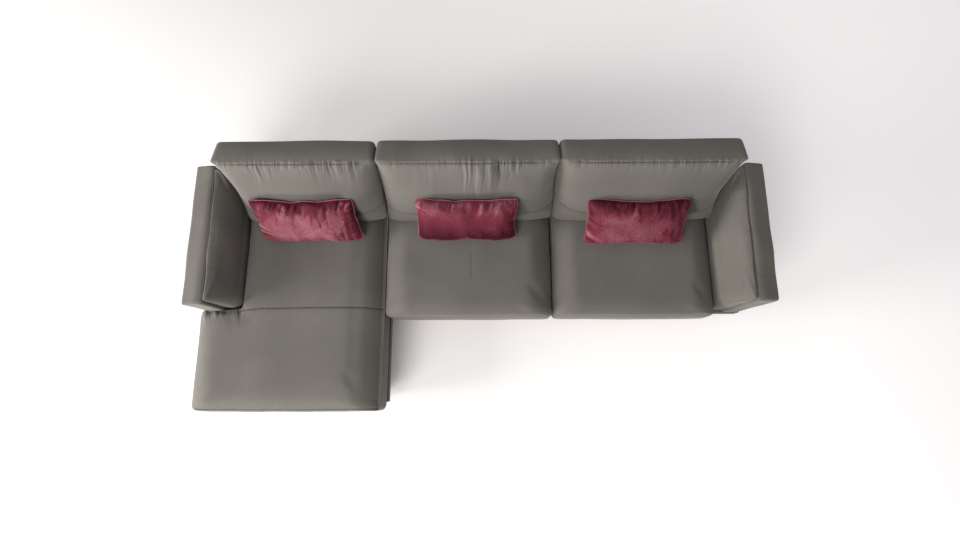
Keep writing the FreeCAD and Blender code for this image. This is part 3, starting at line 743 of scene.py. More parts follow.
def weave_height(
    tree: bpy.types.NodeTree, place: bpy.types.NodeSocket, thread: float
) -> bpy.types.NodeSocket:
    """Make the height of a plain weave: a product of sines across two axes plus one along the third.

    Args:
        tree: The material's tree.
        place: Object coordinates.
        thread: Distance over which the weave repeats.

    Returns:
        The weave's height.
    """
    split = add_node(tree, "SeparateXYZ", {"Vector": place}).outputs
    waves = []
    for axis in range(3):
        angle = add_node(
            tree, "Math", {0: split[axis], 1: 2 * np.pi / thread}, operation="MULTIPLY"
        ).outputs[0]
        waves.append(add_node(tree, "Math", {0: angle}, operation="SINE").outputs[0])
    crossed = add_node(tree, "Math", {0: waves[0], 1: waves[1]}, operation="MULTIPLY").outputs[0]
    return add_node(tree, "Math", {0: crossed, 1: waves[2]}, operation="ADD").outputs[0]


@dataclass(frozen=True)
class WovenCover:
    """Polyester upholstery cloth, tightly woven and lightly brushed.

    It gives a warm grey with a soft sheen at grazing angles, faint slubs along the warp and dark seams, with
    painted shade in grooves, hollows and fold troughs and painted highlight on puffs and fold crests.
    The real thread is 0.5 mm; it is drawn at 1.6 mm, as coarse as it needs to be to show.
    """

    name: str = "woven_polyester_cover"
    seam: str = "#2c2a27"
    dark: str = "#504d49"
    middle: str = "#66635e"
    light: str = "#797671"
    thread: float = 1.6 * MM
    slub_width: float = 6 * MM
    slub_length: float = 110 * MM
    roughness: float = 0.8
    sheen: float = 0.3

    def make(self) -> bpy.types.Material:
        """Build the material."""
        made, tree = new_material(self.name)
        place = add_node(tree, "TexCoord").outputs["Object"]
        stretch = (1 / self.slub_width, 1 / self.slub_length, 1 / self.slub_length)
        warp = add_node(tree, "Mapping", {"Vector": place, "Scale": stretch}).outputs[0]
        slubs = add_node(tree, "TexNoise", {"Vector": warp, "Scale": 1.0, "Detail": 2.0}).outputs["Fac"]
        slubs = add_node(tree, "MapRange", {0: slubs, 1: 0.25, 2: 0.75, 3: -0.03, 4: 0.03}).outputs[0]
        patches = add_node(tree, "TexNoise", {"Vector": place, "Scale": 3.5, "Detail": 3.0}).outputs["Fac"]
        patches = add_node(tree, "MapRange", {0: patches, 1: 0.3, 2: 0.7, 3: 0.44, 4: 0.56}).outputs[0]
        # Painted shade and highlight: grooves and hollows from the sewing darken the cloth, and puffs lighten
        # it.
        depth = add_node(tree, "Attribute", attribute_name="depth").outputs["Fac"]
        hollow = add_node(tree, "MapRange", {0: depth, 1: -1.0, 2: 0.6, 3: -0.35, 4: 0.12}).outputs[0]
        folds, fold_painted_light = fine_folds(tree, 9 * MM, 60 * MM)
        line = stitch_line(tree, 3 * MM, 8 * MM)
        sunk = add_node(tree, "Math", {0: line, 1: -1.2}, operation="MULTIPLY").outputs[0]
        tone = patches
        for part in (slubs, hollow, fold_painted_light, sunk):
            tone = add_node(tree, "Math", {0: tone, 1: part}, operation="ADD").outputs[0]
        stops = [(0.0, self.seam), (0.18, self.dark), (0.5, self.middle), (1.0, self.light)]
        colour = ramp(tree, tone, stops)
        weave = weave_height(tree, place, self.thread)
        groove = add_node(tree, "Math", {0: line, 1: -0.8}, operation="MULTIPLY").outputs[0]
        folds = add_node(tree, "Math", {0: folds, 1: groove}, operation="ADD").outputs[0]
        bump = add_node(
            tree, "Bump", {"Height": folds, "Strength": 1.0, "Distance": 3.5 * MM}
        ).outputs["Normal"]
        fine = {"Height": weave, "Strength": 0.25, "Distance": 0.25 * MM, "Normal": bump}
        bump = add_node(tree, "Bump", fine).outputs["Normal"]
        shader = add_node(
            tree, "BsdfPrincipled", {"Base Color": colour, "Normal": bump, "Roughness": self.roughness}
        )
        shader.inputs["Sheen Weight"].default_value = self.sheen
        shader.inputs["Sheen Roughness"].default_value = 0.4
        shader.inputs["Sheen Tint"].default_value = linear("#d8d4cd")
        shader.inputs["Specular IOR Level"].default_value = 0.3
        surface(tree, shader)
        return made


@dataclass(frozen=True)
class CottonVelvet:
    """Cotton velvet, cut pile on a woven back.

    Its pile lies in patches, so the burgundy runs from near black to rose, with a strong sheen at edges.
    Broad strokes in the pile come from an attribute that each cushion stores, which also holds painted shade
    on its edges and a painted highlight over its middle; grooves carry painted shade and puffs painted
    highlight.
    """

    name: str = "cotton_velvet"
    dark: str = "#370816"
    middle: str = "#652633"
    light: str = "#9f6974"
    patch: float = 5 * MM

    def make(self) -> bpy.types.Material:
        """Build the material."""
        made, tree = new_material(self.name)
        place = add_node(tree, "TexCoord").outputs["Object"]
        fine = add_node(
            tree, "TexNoise", {"Vector": place, "Scale": 1 / self.patch, "Detail": 6.0, "Roughness": 0.7}
        )
        fine = add_node(
            tree, "MapRange", {0: fine.outputs["Fac"], 1: 0.32, 2: 0.68, 3: -0.2, 4: 0.2}
        ).outputs[0]
        broad = add_node(tree, "TexNoise", {"Vector": place, "Scale": 7.0, "Detail": 2.0, "Distortion": 0.6})
        broad = add_node(
            tree, "MapRange", {0: broad.outputs["Fac"], 1: 0.3, 2: 0.7, 3: 0.38, 4: 0.62}
        ).outputs[0]
        # Painted shade in grooves and fold troughs, and painted highlight on puffs.
        depth = add_node(tree, "Attribute", attribute_name="depth").outputs["Fac"]
        hollow = add_node(tree, "Math", {0: depth, 1: 0.45}, operation="MULTIPLY").outputs[0]
        folds, fold_painted_light = fine_folds(tree, 10 * MM, 50 * MM)
        # Pile strokes, with painted shade on the cushion's edges and a painted highlight over its middle.
        pile_and_painted_shading = add_node(tree, "Attribute", attribute_name="pile_and_painted_shading").outputs["Fac"]
        tone = broad
        for part in (fine, hollow, fold_painted_light, pile_and_painted_shading):
            tone = add_node(tree, "Math", {0: tone, 1: part}, operation="ADD").outputs[0]
        colour = ramp(tree, tone, [(0.0, self.dark), (0.5, self.middle), (1.0, self.light)])
        bump = add_node(
            tree, "Bump", {"Height": folds, "Strength": 1.0, "Distance": 4 * MM}
        ).outputs["Normal"]
        pile = add_node(tree, "TexNoise", {"Vector": place, "Scale": 900.0, "Detail": 2.0}).outputs["Fac"]
        fur = {"Height": pile, "Strength": 0.3, "Distance": 0.5 * MM, "Normal": bump}
        bump = add_node(tree, "Bump", fur).outputs["Normal"]
        shader = add_node(tree, "BsdfPrincipled", {"Base Color": colour, "Normal": bump, "Roughness": 0.7})
        shader.inputs["Sheen Weight"].default_value = 0.55
        shader.inputs["Sheen Roughness"].default_value = 0.3
        shader.inputs["Sheen Tint"].default_value = linear("#d08896")
        shader.inputs["Specular IOR Level"].default_value = 0.12
        surface(tree, shader)
        return made


@dataclass(frozen=True)
class PlainFinish:
    """A finish with a grain or mottle in two tones, for what lies under the covers.

    Attributes:
        name: The material's common name and make.
        dark: Hex of the dark tone.
        light: Hex of the light tone.
        grain: Size of the pattern along X, Y and Z.
        roughness: How matte it is.
        metallic: 1 for bare metal.
        bump: Height of the pattern.
    """

    name: str
    dark: str
    light: str
    grain: tuple[float, float, float]
    roughness: float
    metallic: float = 0
    bump: float = 0.2 * MM

    def make(self) -> bpy.types.Material:
        """Build the material."""
        made, tree = new_material(self.name)
        place = add_node(tree, "TexCoord").outputs["Object"]
        scaled = add_node(tree, "Mapping", {"Vector": place, "Scale": tuple(1 / size for size in self.grain)})
        noise = add_node(
            tree, "TexNoise", {"Vector": scaled.outputs[0], "Scale": 1.0, "Detail": 4.0}
        ).outputs["Fac"]
        tone = add_node(tree, "MapRange", {0: noise, 1: 0.3, 2: 0.7}).outputs[0]
        colour = ramp(tree, tone, [(0.0, self.dark), (1.0, self.light)])
        bump = add_node(
            tree, "Bump", {"Height": noise, "Strength": 0.4, "Distance": self.bump}
        ).outputs["Normal"]
        shader = add_node(
            tree, "BsdfPrincipled", {"Base Color": colour, "Normal": bump, "Roughness": self.roughness}
        )
        shader.inputs["Metallic"].default_value = self.metallic
        surface(tree, shader)
        return made


# Pine rails, sawn: pale straw with darker grain lines along the board.
PINE = PlainFinish("sawn_pine", "#a07c52", "#c9a777", grain=(60 * MM, 6 * MM, 6 * MM), roughness=0.7)
# Birch plywood boards: paler and finer than pine.
PLYWOOD = PlainFinish("birch_plywood", "#b99a6d", "#d6bd92", grain=(90 * MM, 8 * MM, 5 * MM), roughness=0.65)
# Polyurethane foam, cut: cream with open cells.
FOAM = PlainFinish(
    "cut_polyurethane_foam", "#d9c88f", "#efe3b8", grain=(4 * MM, 4 * MM, 4 * MM), roughness=0.95,
    bump=0.8 * MM,
)
# Rubbered jute webbing: near black with a ribbed hand.
WEBBING = PlainFinish(
    "rubbered_jute_webbing", "#1b1a1a", "#2e2c2a", grain=(5 * MM, 2 * MM, 5 * MM), roughness=0.85
)
# Spun polypropylene dust cloth: black felted sheet.
DUST_CLOTH = PlainFinish(
    "spun_polypropylene_cloth", "#0e0e10", "#1c1c1f", grain=(3 * MM, 3 * MM, 3 * MM), roughness=0.9
)
# Powder-coated steel feet: black with a faint orange peel.
FOOT_PAINT = PlainFinish(
    "powder_coated_steel", "#0d0d0e", "#171718", grain=(2 * MM, 2 * MM, 2 * MM), roughness=0.45,
    bump=0.05 * MM,
)
# Wool felt glides: dark grey and hairy.
FELT = PlainFinish("wool_felt", "#35332f", "#4c4944", grain=(2 * MM, 2 * MM, 2 * MM), roughness=0.95)
# Zinc-plated pressed steel connector plates.
ZINC = PlainFinish(
    "zinc_plated_steel", "#9a9c9e", "#c3c5c7", grain=(12 * MM, 12 * MM, 12 * MM), roughness=0.38, metallic=1
)


@dataclass
class Materials:
    """The finishes, each built once."""

    cover: bpy.types.Material = field(default_factory=lambda: WovenCover().make())
    velvet: bpy.types.Material = field(default_factory=lambda: CottonVelvet().make())
    foam: bpy.types.Material = field(default_factory=lambda: FOAM.make())

    def dress(
        self, made: bpy.types.Object, body: Body, slot: Slot, nodes: tuple[str, ...]
    ) -> None:
        """Give a new piece its finish, its body and the nodes that it stands for.

        Args:
            made: The piece.
            body: What it moves with.
            slot: Its material slot.
            nodes: The model's nodes that it replaces.
        """
        made.data.materials.clear()
        made.data.materials.append({Slot.VELVET: self.velvet, Slot.FOAM: self.foam}.get(slot, self.cover))
        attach(made, body.value)
        if nodes:
            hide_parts(*nodes)
        LOG.info("%s: %d faces", made.name, len(made.data.polygons))

    def dress_nodes(self, nodes: dict[str, bpy.types.Object]) -> None:
        """Give every node of the model that stays the finish of its kind."""
        kinds = {
            "_rail": PINE,
            "_frame": PLYWOOD,
            "_webbing": WEBBING,
            "_dust_cover": DUST_CLOTH,
            "glides": FELT,
            "foot_": FOOT_PAINT,
            "connector_": ZINC,
        }
        made = {key: finish.make() for key, finish in kinds.items()} | {"_foam": self.foam}
        for name, node in nodes.items():
            found = next((key for key in made if key in name), None)
            node.data.materials.clear()
            node.data.materials.append(made[found] if found else self.cover)


# The sofa's pieces.


@dataclass
class SeatCushion:
    """A seat: a box of cloth with a crowned top, sewn to a plain band round its foot.

    Attributes:
        name: Name of the piece.
        node: The model's node that it stands for.
        corners: Plan outline, anticlockwise.
        notch: Number of the corner that turns inward, or None.
        voxel: Size of the squares that it is rebuilt in.
        seed: Number that picks its unevenness.
        low: Height of its foot.
        high: Height of its top.
        corner_round: Radius of its corners in plan.
        notch_round: Radius of the corner that turns inward.
        crown_run: How far the top's rounding reaches in.
        crown_rise: Height of that rounding.
        crown_power: How boxy the rounding is; 2 is an ellipse.
        slack: How far the cover starts inside its outline.
        bows: How far each side swells outward.
        seam_height: Height of the seam round its foot.
        seam_groove: Width and depth of that seam.
        seam_puckers: Height of the small folds over it.
        sides: X of its left and right sides, where its top falls.
        side_run: How far that fall reaches in.
        side_drops: How far the top falls at the left and the right.
        leans: How far the left and right sides shift along X above their feet.
        walls: Planes that it is flattened against, each a sign and a place along X.
        made: The piece, once it is built.
        extra: Its own seams and gathers.
    """

    name: str
    node: str
    corners: Array
    notch: int | None = None
    voxel: float = 11 * MM
    seed: int = 1
    low: float = 0.1813
    high: float = 0.4133
    corner_round: float = 26 * MM
    notch_round: float = 8 * MM
    crown_run: float = 170 * MM
    crown_rise: float = 40 * MM
    crown_power: float = 3.4
    slack: float = 1 * MM
    bows: tuple[float, ...] = (4 * MM, 0, 0, 0)
    seam_height: float = 0.330
    seam_groove: float = 5 * MM
    seam_puckers: float = 1.2 * MM
    sides: tuple[float, float] = (0, 0)
    side_run: float = 150 * MM
    side_drops: tuple[float, float] = (42 * MM, 58 * MM)
    leans: tuple[float, float] = (0, 0)
    walls: tuple[tuple[int, float], ...] = ()
    made: bpy.types.Object | None = None
    extra: list[Sewing] = field(default_factory=list)

    def shell(self) -> None:
        """Stack the outline's rings: a tucked foot, an upright side, then a boxy quarter ellipse up."""
        radii = np.full(len(self.corners), self.corner_round)
        if self.notch is not None:
            radii[self.notch] = self.notch_round
        turns = np.linspace(0, np.pi / 2, 6)
        foot = [(self.low + 16 * MM * (1 - np.cos(a)), self.slack + 16 * MM * (1 - np.sin(a))) for a in turns]
        top, power = self.high - self.slack, 2 / self.crown_power
        crown = [
            (
                top - self.crown_rise * (1 - np.sin(a) ** power),
                self.slack + self.crown_run * (1 - np.cos(a) ** power),
            )
            for a in np.linspace(0, np.pi / 2, 12)
        ]
        bows, counts = np.array(self.bows), side_counts(self.corners, 30 * MM)
        rings = []
        for height, inset in foot + crown:
            loop = rounded_loop(inset_corners(self.corners, inset), radii, bows, 7, counts)
            rings.append(np.column_stack([loop, np.full(len(loop), height)]))
        self.made = closed_shell(self.name, np.array(rings))
        remesh(self.made, self.voxel)
        self.round_sides()

    def round_sides(self) -> None:
        """Lower the top towards its left and right sides, and lean the sides.

        The drop is (1 - distance from the side over the run), to the power of 2.2.
        """
        points, _ = mesh_points(self.made)
        for sign, side, drop in zip((1, -1), self.sides, self.side_drops):
            share = np.clip(1 - sign * (points[:, 0] - side) / self.side_run, 0, 1) ** 2.2
            points[:, 2] -= drop * share * smooth(points[:, 2], self.seam_height, self.high - 10 * MM)
        points[:, 0] += self.lean_at(points)
        set_points(self.made, points)

    def lean_at(self, points: Array) -> Array:
        """Give each point's shift along X: none at the foot, above it from one side's lean to the other's."""
        span = np.clip((points[:, 0] - self.sides[0]) / (self.sides[1] - self.sides[0]), 0, 1)
        return (self.leans[0] * (1 - span) + self.leans[1] * span) * smooth(points[:, 2], 0.20, 0.34)

    def swell(self, swelling: Swelling) -> None:
        """Hold the foot and the band, and free the top."""
        points, _ = mesh_points(self.made)
        held = 1 - smooth(points[:, 2], self.seam_height - 30 * MM, self.seam_height + 10 * MM)
        swelling.add(self.made, held, pressure=2.2, cap=7 * MM, bending=6)

    def press(self) -> None:
        """Flatten the cover against its neighbours' planes, and take it out of the arm it goes round."""
        points, _ = mesh_points(self.made)
        lean = self.lean_at(points)
        for sign, wall in self.walls:
            points[:, 0] = sign * np.minimum(sign * (points[:, 0] - lean), wall) + lean
        if self.notch is not None:
            corner = self.corners[self.notch]
            into = np.column_stack([corner[0] - points[:, 0], points[:, 1] - corner[1]])
            inside, nearer = (into > 0).all(1), into[:, 0] < into[:, 1]
            points[inside & nearer, 0] = corner[0]
            points[inside & ~nearer, 1] = corner[1]
        set_points(self.made, points)

    def finish(self, materials: Materials) -> None:
        """Sew the seam round the foot and the piece's own seams, and dress it."""
        relax(self.made, 12)
        self.press()
        refine(self.made)
        points, normals = mesh_points(self.made)
        gap = np.abs(points[:, 2] - self.seam_height)
        upright = smooth(np.hypot(normals[:, 0], normals[:, 1]), 0.5, 0.8)
        around = points[:, 0] + points[:, 1]
        groove = -self.seam_groove * np.exp(-((gap / self.seam_groove) ** 2))
        above = points[:, 2] > self.seam_height
        pucker = self.seam_puckers * ripple(around, 13 * MM, self.seed) * np.exp(-gap / (16 * MM)) * above
        set_points(self.made, points + normals * ((groove + pucker) * upright)[:, None])
        sew(self.made, self.extra, dents=1.2 * MM, dent_size=0.34, seed=self.seed)
        materials.dress(self.made, Body.FRAME, Slot.COVER, (self.node,))


@dataclass
class FoamCore:
    """A seat's block of foam, its top edges rounded off under the cover's slopes.

    Attributes:
        seat: Which seat it lies in.
        round_width: How far the rounding reaches in from an edge.
        round_depth: How far it reaches down.
    """

    seat: str
    round_width: float = 90 * MM
    round_depth: float = 62 * MM

    def build(self, materials: Materials) -> None:
        """Stack rounded rectangles from the block's foot to its top."""
        low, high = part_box(f"{self.seat}_seat_foam")
        corners = np.array([[low[0], low[1]], [high[0], low[1]], [high[0], high[1]], [low[0], high[1]]])
        turns = np.linspace(0, np.pi / 2, 9)
        over = [
            (high[2] - self.round_depth * (1 - np.sin(a)), self.round_width * (1 - np.cos(a))) for a in turns
        ]
        rings = []
        for height, inset in [(low[2], 3 * MM), (low[2] + 3 * MM, 0), *over]:
            loop = rounded_loop(
                inset_corners(corners, inset), np.full(4, 6 * MM), np.zeros(4), 3, np.full(4, 12)
            )
            rings.append(np.column_stack([loop, np.full(len(loop), height)]))
        made = closed_shell(f"{self.seat}_foam_core", np.array(rings))
        materials.dress(made, Body.FRAME, Slot.FOAM, (f"{self.seat}_seat_foam",))


@dataclass
class BackCushion:
    """A leaning back cushion with a gathered seam along its top.

    Attributes:
        name: Name of the piece.
        node: The model's node that it stands for.
        body: What it moves with.
        low: Left end.
        high: Right end.
        folds: Gathers on its front, each a height, reach, spacing and range along X.
        seed: Number that picks its unevenness.
        profile: Corners of its section, Y and Z, from its front foot.
        radii: Radius of each of those corners.
        top_seam: Y and Z of the seam along its top, as the free cover has it.
        rear_seam: Y and Z of the edge behind it.
        foot: Height of the seat that it stands on.
        lumbar: How far the lumbar seam rises at the left and right ends.
        dent: Left, right and height of the crease that a scatter cushion presses in, along which its shadow
            is painted.
        slack: How far the cover starts inside its section.
        end_run: How far the ends' rounding reaches in.
        flare: How far the left and right ends stand out at the top.
        bulge: How far the front swells out.
        recess: How far the front draws in near its ends.
        roll: How far the front turns back at its ends.
        roll_run: How far that turn reaches in.
        voxel: Size of the squares that it is rebuilt in.
        made: The piece, once it is built.
    """

    name: str
    node: str
    body: Body
    low: float
    high: float
    folds: list[tuple[float, float, float, float, float]]
    seed: int = 1
    profile: tuple[tuple[float, float], ...] = (
        (0.392, 0.4136),
        (0.5727, 0.4136),
        (0.726, 0.775),
        (0.733, 0.836),
        (0.5747, 0.868),
    )
    radii: tuple[float, ...] = (0.009, 0.014, 0.060, 0.018, 0.004)
    top_seam: tuple[float, float] = (0.5747, 0.867)
    rear_seam: tuple[float, float] = (0.730, 0.843)
    foot: float = 0.414
    lumbar: tuple[float, float] = (0, 0)
    dent: tuple[float, float, float] = (0, 0, 0)
    slack: float = 2 * MM
    end_run: float = 26 * MM
    flare: tuple[float, float] = (0, 0)
    bulge: float = 40 * MM
    recess: float = 10 * MM
    roll: float = 56 * MM
    roll_run: float = 82 * MM
    voxel: float = 8.5 * MM
    made: bpy.types.Object | None = None

    def shell(self) -> None:
        """Carry the profile along X; at both ends it shrinks to its middle by a quarter ellipse.

        The shrinking is least at the front top seam, which runs out to an ear, and most at the rear top.
        """
        corners = inset_corners(np.array(self.profile), self.slack)
        bows = np.array([0, -1, 0, 6, 0]) * MM
        loop = rounded_loop(corners, np.array(self.radii), bows, 6, side_counts(corners, 20 * MM))
        middle = np.array([0.575, 0.63])
        seam = np.linalg.norm(loop - corners[4], axis=1)
        rear = np.linalg.norm(loop - corners[3], axis=1)
        share = 0.05 - 0.05 * np.exp(-((seam / 0.05) ** 2)) + 0.05 * np.exp(-((rear / 0.06) ** 2))
        start, finish = self.low + 1 * MM, self.high - 1 * MM
        inner = np.arange(start + self.end_run, finish - self.end_run, 25 * MM)
        turns = np.linspace(0, np.pi / 2, 7)
        run = self.end_run * (1 - np.cos(turns))
        places = np.concatenate([start + run, inner[1:], (finish - run)[::-1]])
        near = np.minimum(places - start, finish - places)
        drawn = rounding(near, self.end_run)
        shrunk = 1 - share[None, :, None] * drawn[:, None, None]
        flat = middle + (loop - middle)[None] * shrunk
        flat = self.crown(flat, (2 * places - self.low - self.high) / (self.high - self.low), near)
        span, height = (places - self.low) / (self.high - self.low), smooth(flat[..., 1], 0.55, 0.87)
        spread_out = -self.flare[0] * (1 - span) + self.flare[1] * span
        across = places[:, None] + spread_out[:, None] * height
        self.made = closed_shell(self.name, np.concatenate([across[..., None], flat], 2))
        remesh(self.made, self.voxel)

    def crown(self, flat: Array, off: Array, near: Array) -> Array:
        """Round the front and the top across X.

        Up the front, h runs from 0 at the foot to 1 at the seam, and off runs from -1 to 1 across. The front
        moves out by bulge (4h(1 - h))^0.8 (1 - |off|^2.2) and in by recess (4h(1 - h))^0.5 off^4. Near an end
        it also rolls in by a parabola, less so at the foot and the seam, and over a wider run low at the
        right. The top and the rear rise by a parabola.

        Args:
            flat: Rings of Y and Z.
            off: Place of each ring across X.
            near: Distance of each ring from the nearer end.

        Returns:
            The rings, moved.
        """
        foot, top = np.array(self.profile[0]), np.array(self.profile[4])
        way = (top - foot) / np.linalg.norm(top - foot)
        out = np.array([-way[1], way[0]])
        h = np.clip((flat - foot) @ way / np.linalg.norm(top - foot), 0, 1)
        behind = -(flat - foot) @ out
        wider = 0.9 * smooth(off[:, None], 0, 1) * (1 - smooth(h, 0.35, 0.65))
        run = self.roll_run * (1 + wider)
        off = np.abs(off)[:, None]
        arch = 4 * h * (1 - h)
        moved = self.bulge * arch**0.8 * (1 - off**2.2) - self.recess * arch**0.5 * off**4
        turned = 1 - np.clip(near[:, None] / run, 0, 1)
        moved -= self.roll * turned**2 * np.clip(arch, 0, 1) ** 0.45
        moved *= np.exp(-((behind / 0.05) ** 2))
        depth = np.clip((flat[..., 0] - top[0]) / 0.155, 0, 1)
        high = np.exp(-(((flat[..., 1] - 0.86) / 0.05) ** 2))
        rise = 4 * MM * 4 * depth * (1 - depth) * (1 - off**4) * high
        rear = 4 * MM * (1 - off**2) * smooth(depth, 0.6, 1) * high
        return flat + moved[..., None] * out + np.stack([rear, rise], 2)

    def swell(self, swelling: Swelling) -> None:
        """Hold the foot, the rear and the two top seams, and free the panels."""
        points, normals = mesh_points(self.made)
        seam = np.hypot(points[:, 1] - self.top_seam[0], points[:, 2] - self.top_seam[1])
        rear = np.hypot(points[:, 1] - self.rear_seam[0], points[:, 2] - self.rear_seam[1])
        held = np.maximum(1 - smooth(points[:, 2], self.foot, 0.45), 1 - smooth(seam, 8 * MM, 22 * MM))
        held = np.maximum(held, 1 - smooth(rear, 24 * MM, 40 * MM))
        held = np.maximum(
            held, smooth(normals @ np.array([0, 0.92, -0.38]), 0.6, 0.9) * (points[:, 2] < 0.77)
        )
        swelling.add(self.made, held, pressure=4, cap=10 * MM, bending=1)

    def press(self) -> None:
        """Flatten the ends against the neighbours' planes, wider by the flare at the top."""
        points, _ = mesh_points(self.made)
        height = smooth(points[:, 2], 0.55, 0.87)
        low, high = self.low - self.flare[0] * height, self.high + self.flare[1] * height
        points[:, 0] = np.clip(points[:, 0], low, high)
        points[:, 2] = np.maximum(points[:, 2], self.foot)
        set_points(self.made, points)

    def finish(self, materials: Materials) -> None:
        """Sew the top seam and the lumbar seam, lay the gathers and press in the hollow."""
        relax(self.made, 2)
        self.press()
        refine(self.made)
        seam_y, seam_z = 0.574, 0.862
        edge = np.array([[self.low + 6 * MM, seam_y, seam_z], [self.high - 6 * MM, seam_y, seam_z]])
        front = (0, -0.93, 0.36)
        work: list[Sewing] = [
            Seam(
                edge, front, (1, 1, 1), width=5 * MM, depth=2.2 * MM, puff=2 * MM, reach=26 * MM,
                puckers=2.6 * MM, spacing=16 * MM, seed=self.seed, drawn=0.22,
            ),
            Gathers(
                edge, (0, 0.15, 1), (1, 1, 1), height=0.6 * MM, spacing=60 * MM, reach=170 * MM, slant=0.03,
                seed=self.seed * 17,
            ),
        ]
        for number, (height, reach, spacing, first, last) in enumerate(self.folds):
            line = np.array([[first, seam_y, seam_z], [last, seam_y, seam_z]])
            work.append(
                Gathers(
                    line, front, (1, 1, 1), height=height, spacing=spacing, reach=reach, slant=0.05,
                    seed=self.seed * 31 + number,
                )
            )
        for end in (self.low + 6 * MM, self.high - 6 * MM):
            line = np.array([[end, seam_y, seam_z], [end, 0.42, 0.45]])
            work.append(
                Gathers(
                    line, front, (1, 1, 1), height=2 * MM, spacing=34 * MM, reach=60 * MM, slant=0.3,
                    seed=round(abs(end) * 100),
                )
            )
        across = np.linspace(self.low, self.high, 24)
        near, far = np.exp(-(across - self.low) / 0.12), np.exp(-(self.high - across) / 0.12)
        height = 0.503 + self.lumbar[0] * near + self.lumbar[1] * far
        lumbar = np.column_stack([across, np.full(24, 0.45), height])
        work.append(
            Seam(
                lumbar, front, (1, 0, 1), width=5 * MM, depth=2 * MM, puff=1.2 * MM, reach=40 * MM,
                puckers=0.3 * MM, seed=self.seed, drawn=0.12,
            )
        )
        work.append(self.press_hollow(front))
        sew(self.made, work, dents=2.5 * MM, dent_size=0.28, seed=self.seed)
        materials.dress(self.made, self.body, Slot.COVER, (self.node,))

    def press_hollow(self, front: tuple[float, float, float]) -> Seam:
        """Press in the place where a scatter cushion leans, and give the crease over it and down its right.

        The hollow is moved in before the sewing, so that it doesn't darken the cloth as a seam does. The
        crease is sewn with the rest, so the cloth along it darkens: a painted shadow of the scatter cushion
        over its top and down its right.

        Args:
            front: Direction that the cushion's front faces.

        Returns:
            The crease, to be sewn with the rest.
        """
        start, finish, over = self.dent
        middle = over - 0.085
        hollow = np.array([[start + 0.09, 0.46, middle], [finish - 0.03, 0.46, middle]])
        points, normals = mesh_points(self.made)
        pressed = Seam(hollow, front, (1, 0, 1), width=72 * MM, depth=12 * MM, puff=0).move(points, normals)
        set_points(self.made, points + normals * pressed[:, None])
        crease = np.array(
            [
                [start, 0.46, over - 22 * MM],
                [start + 0.06, 0.46, over],
                [finish, 0.46, over],
                [finish + 0.06, 0.43, 0.52],
            ]
        )
        # The crease's groove darkens the cloth: painted shadow of the scatter cushion.
        return Seam(crease, front, (1, 0, 1), width=31 * MM, depth=12 * MM, puff=0, drawn=0)


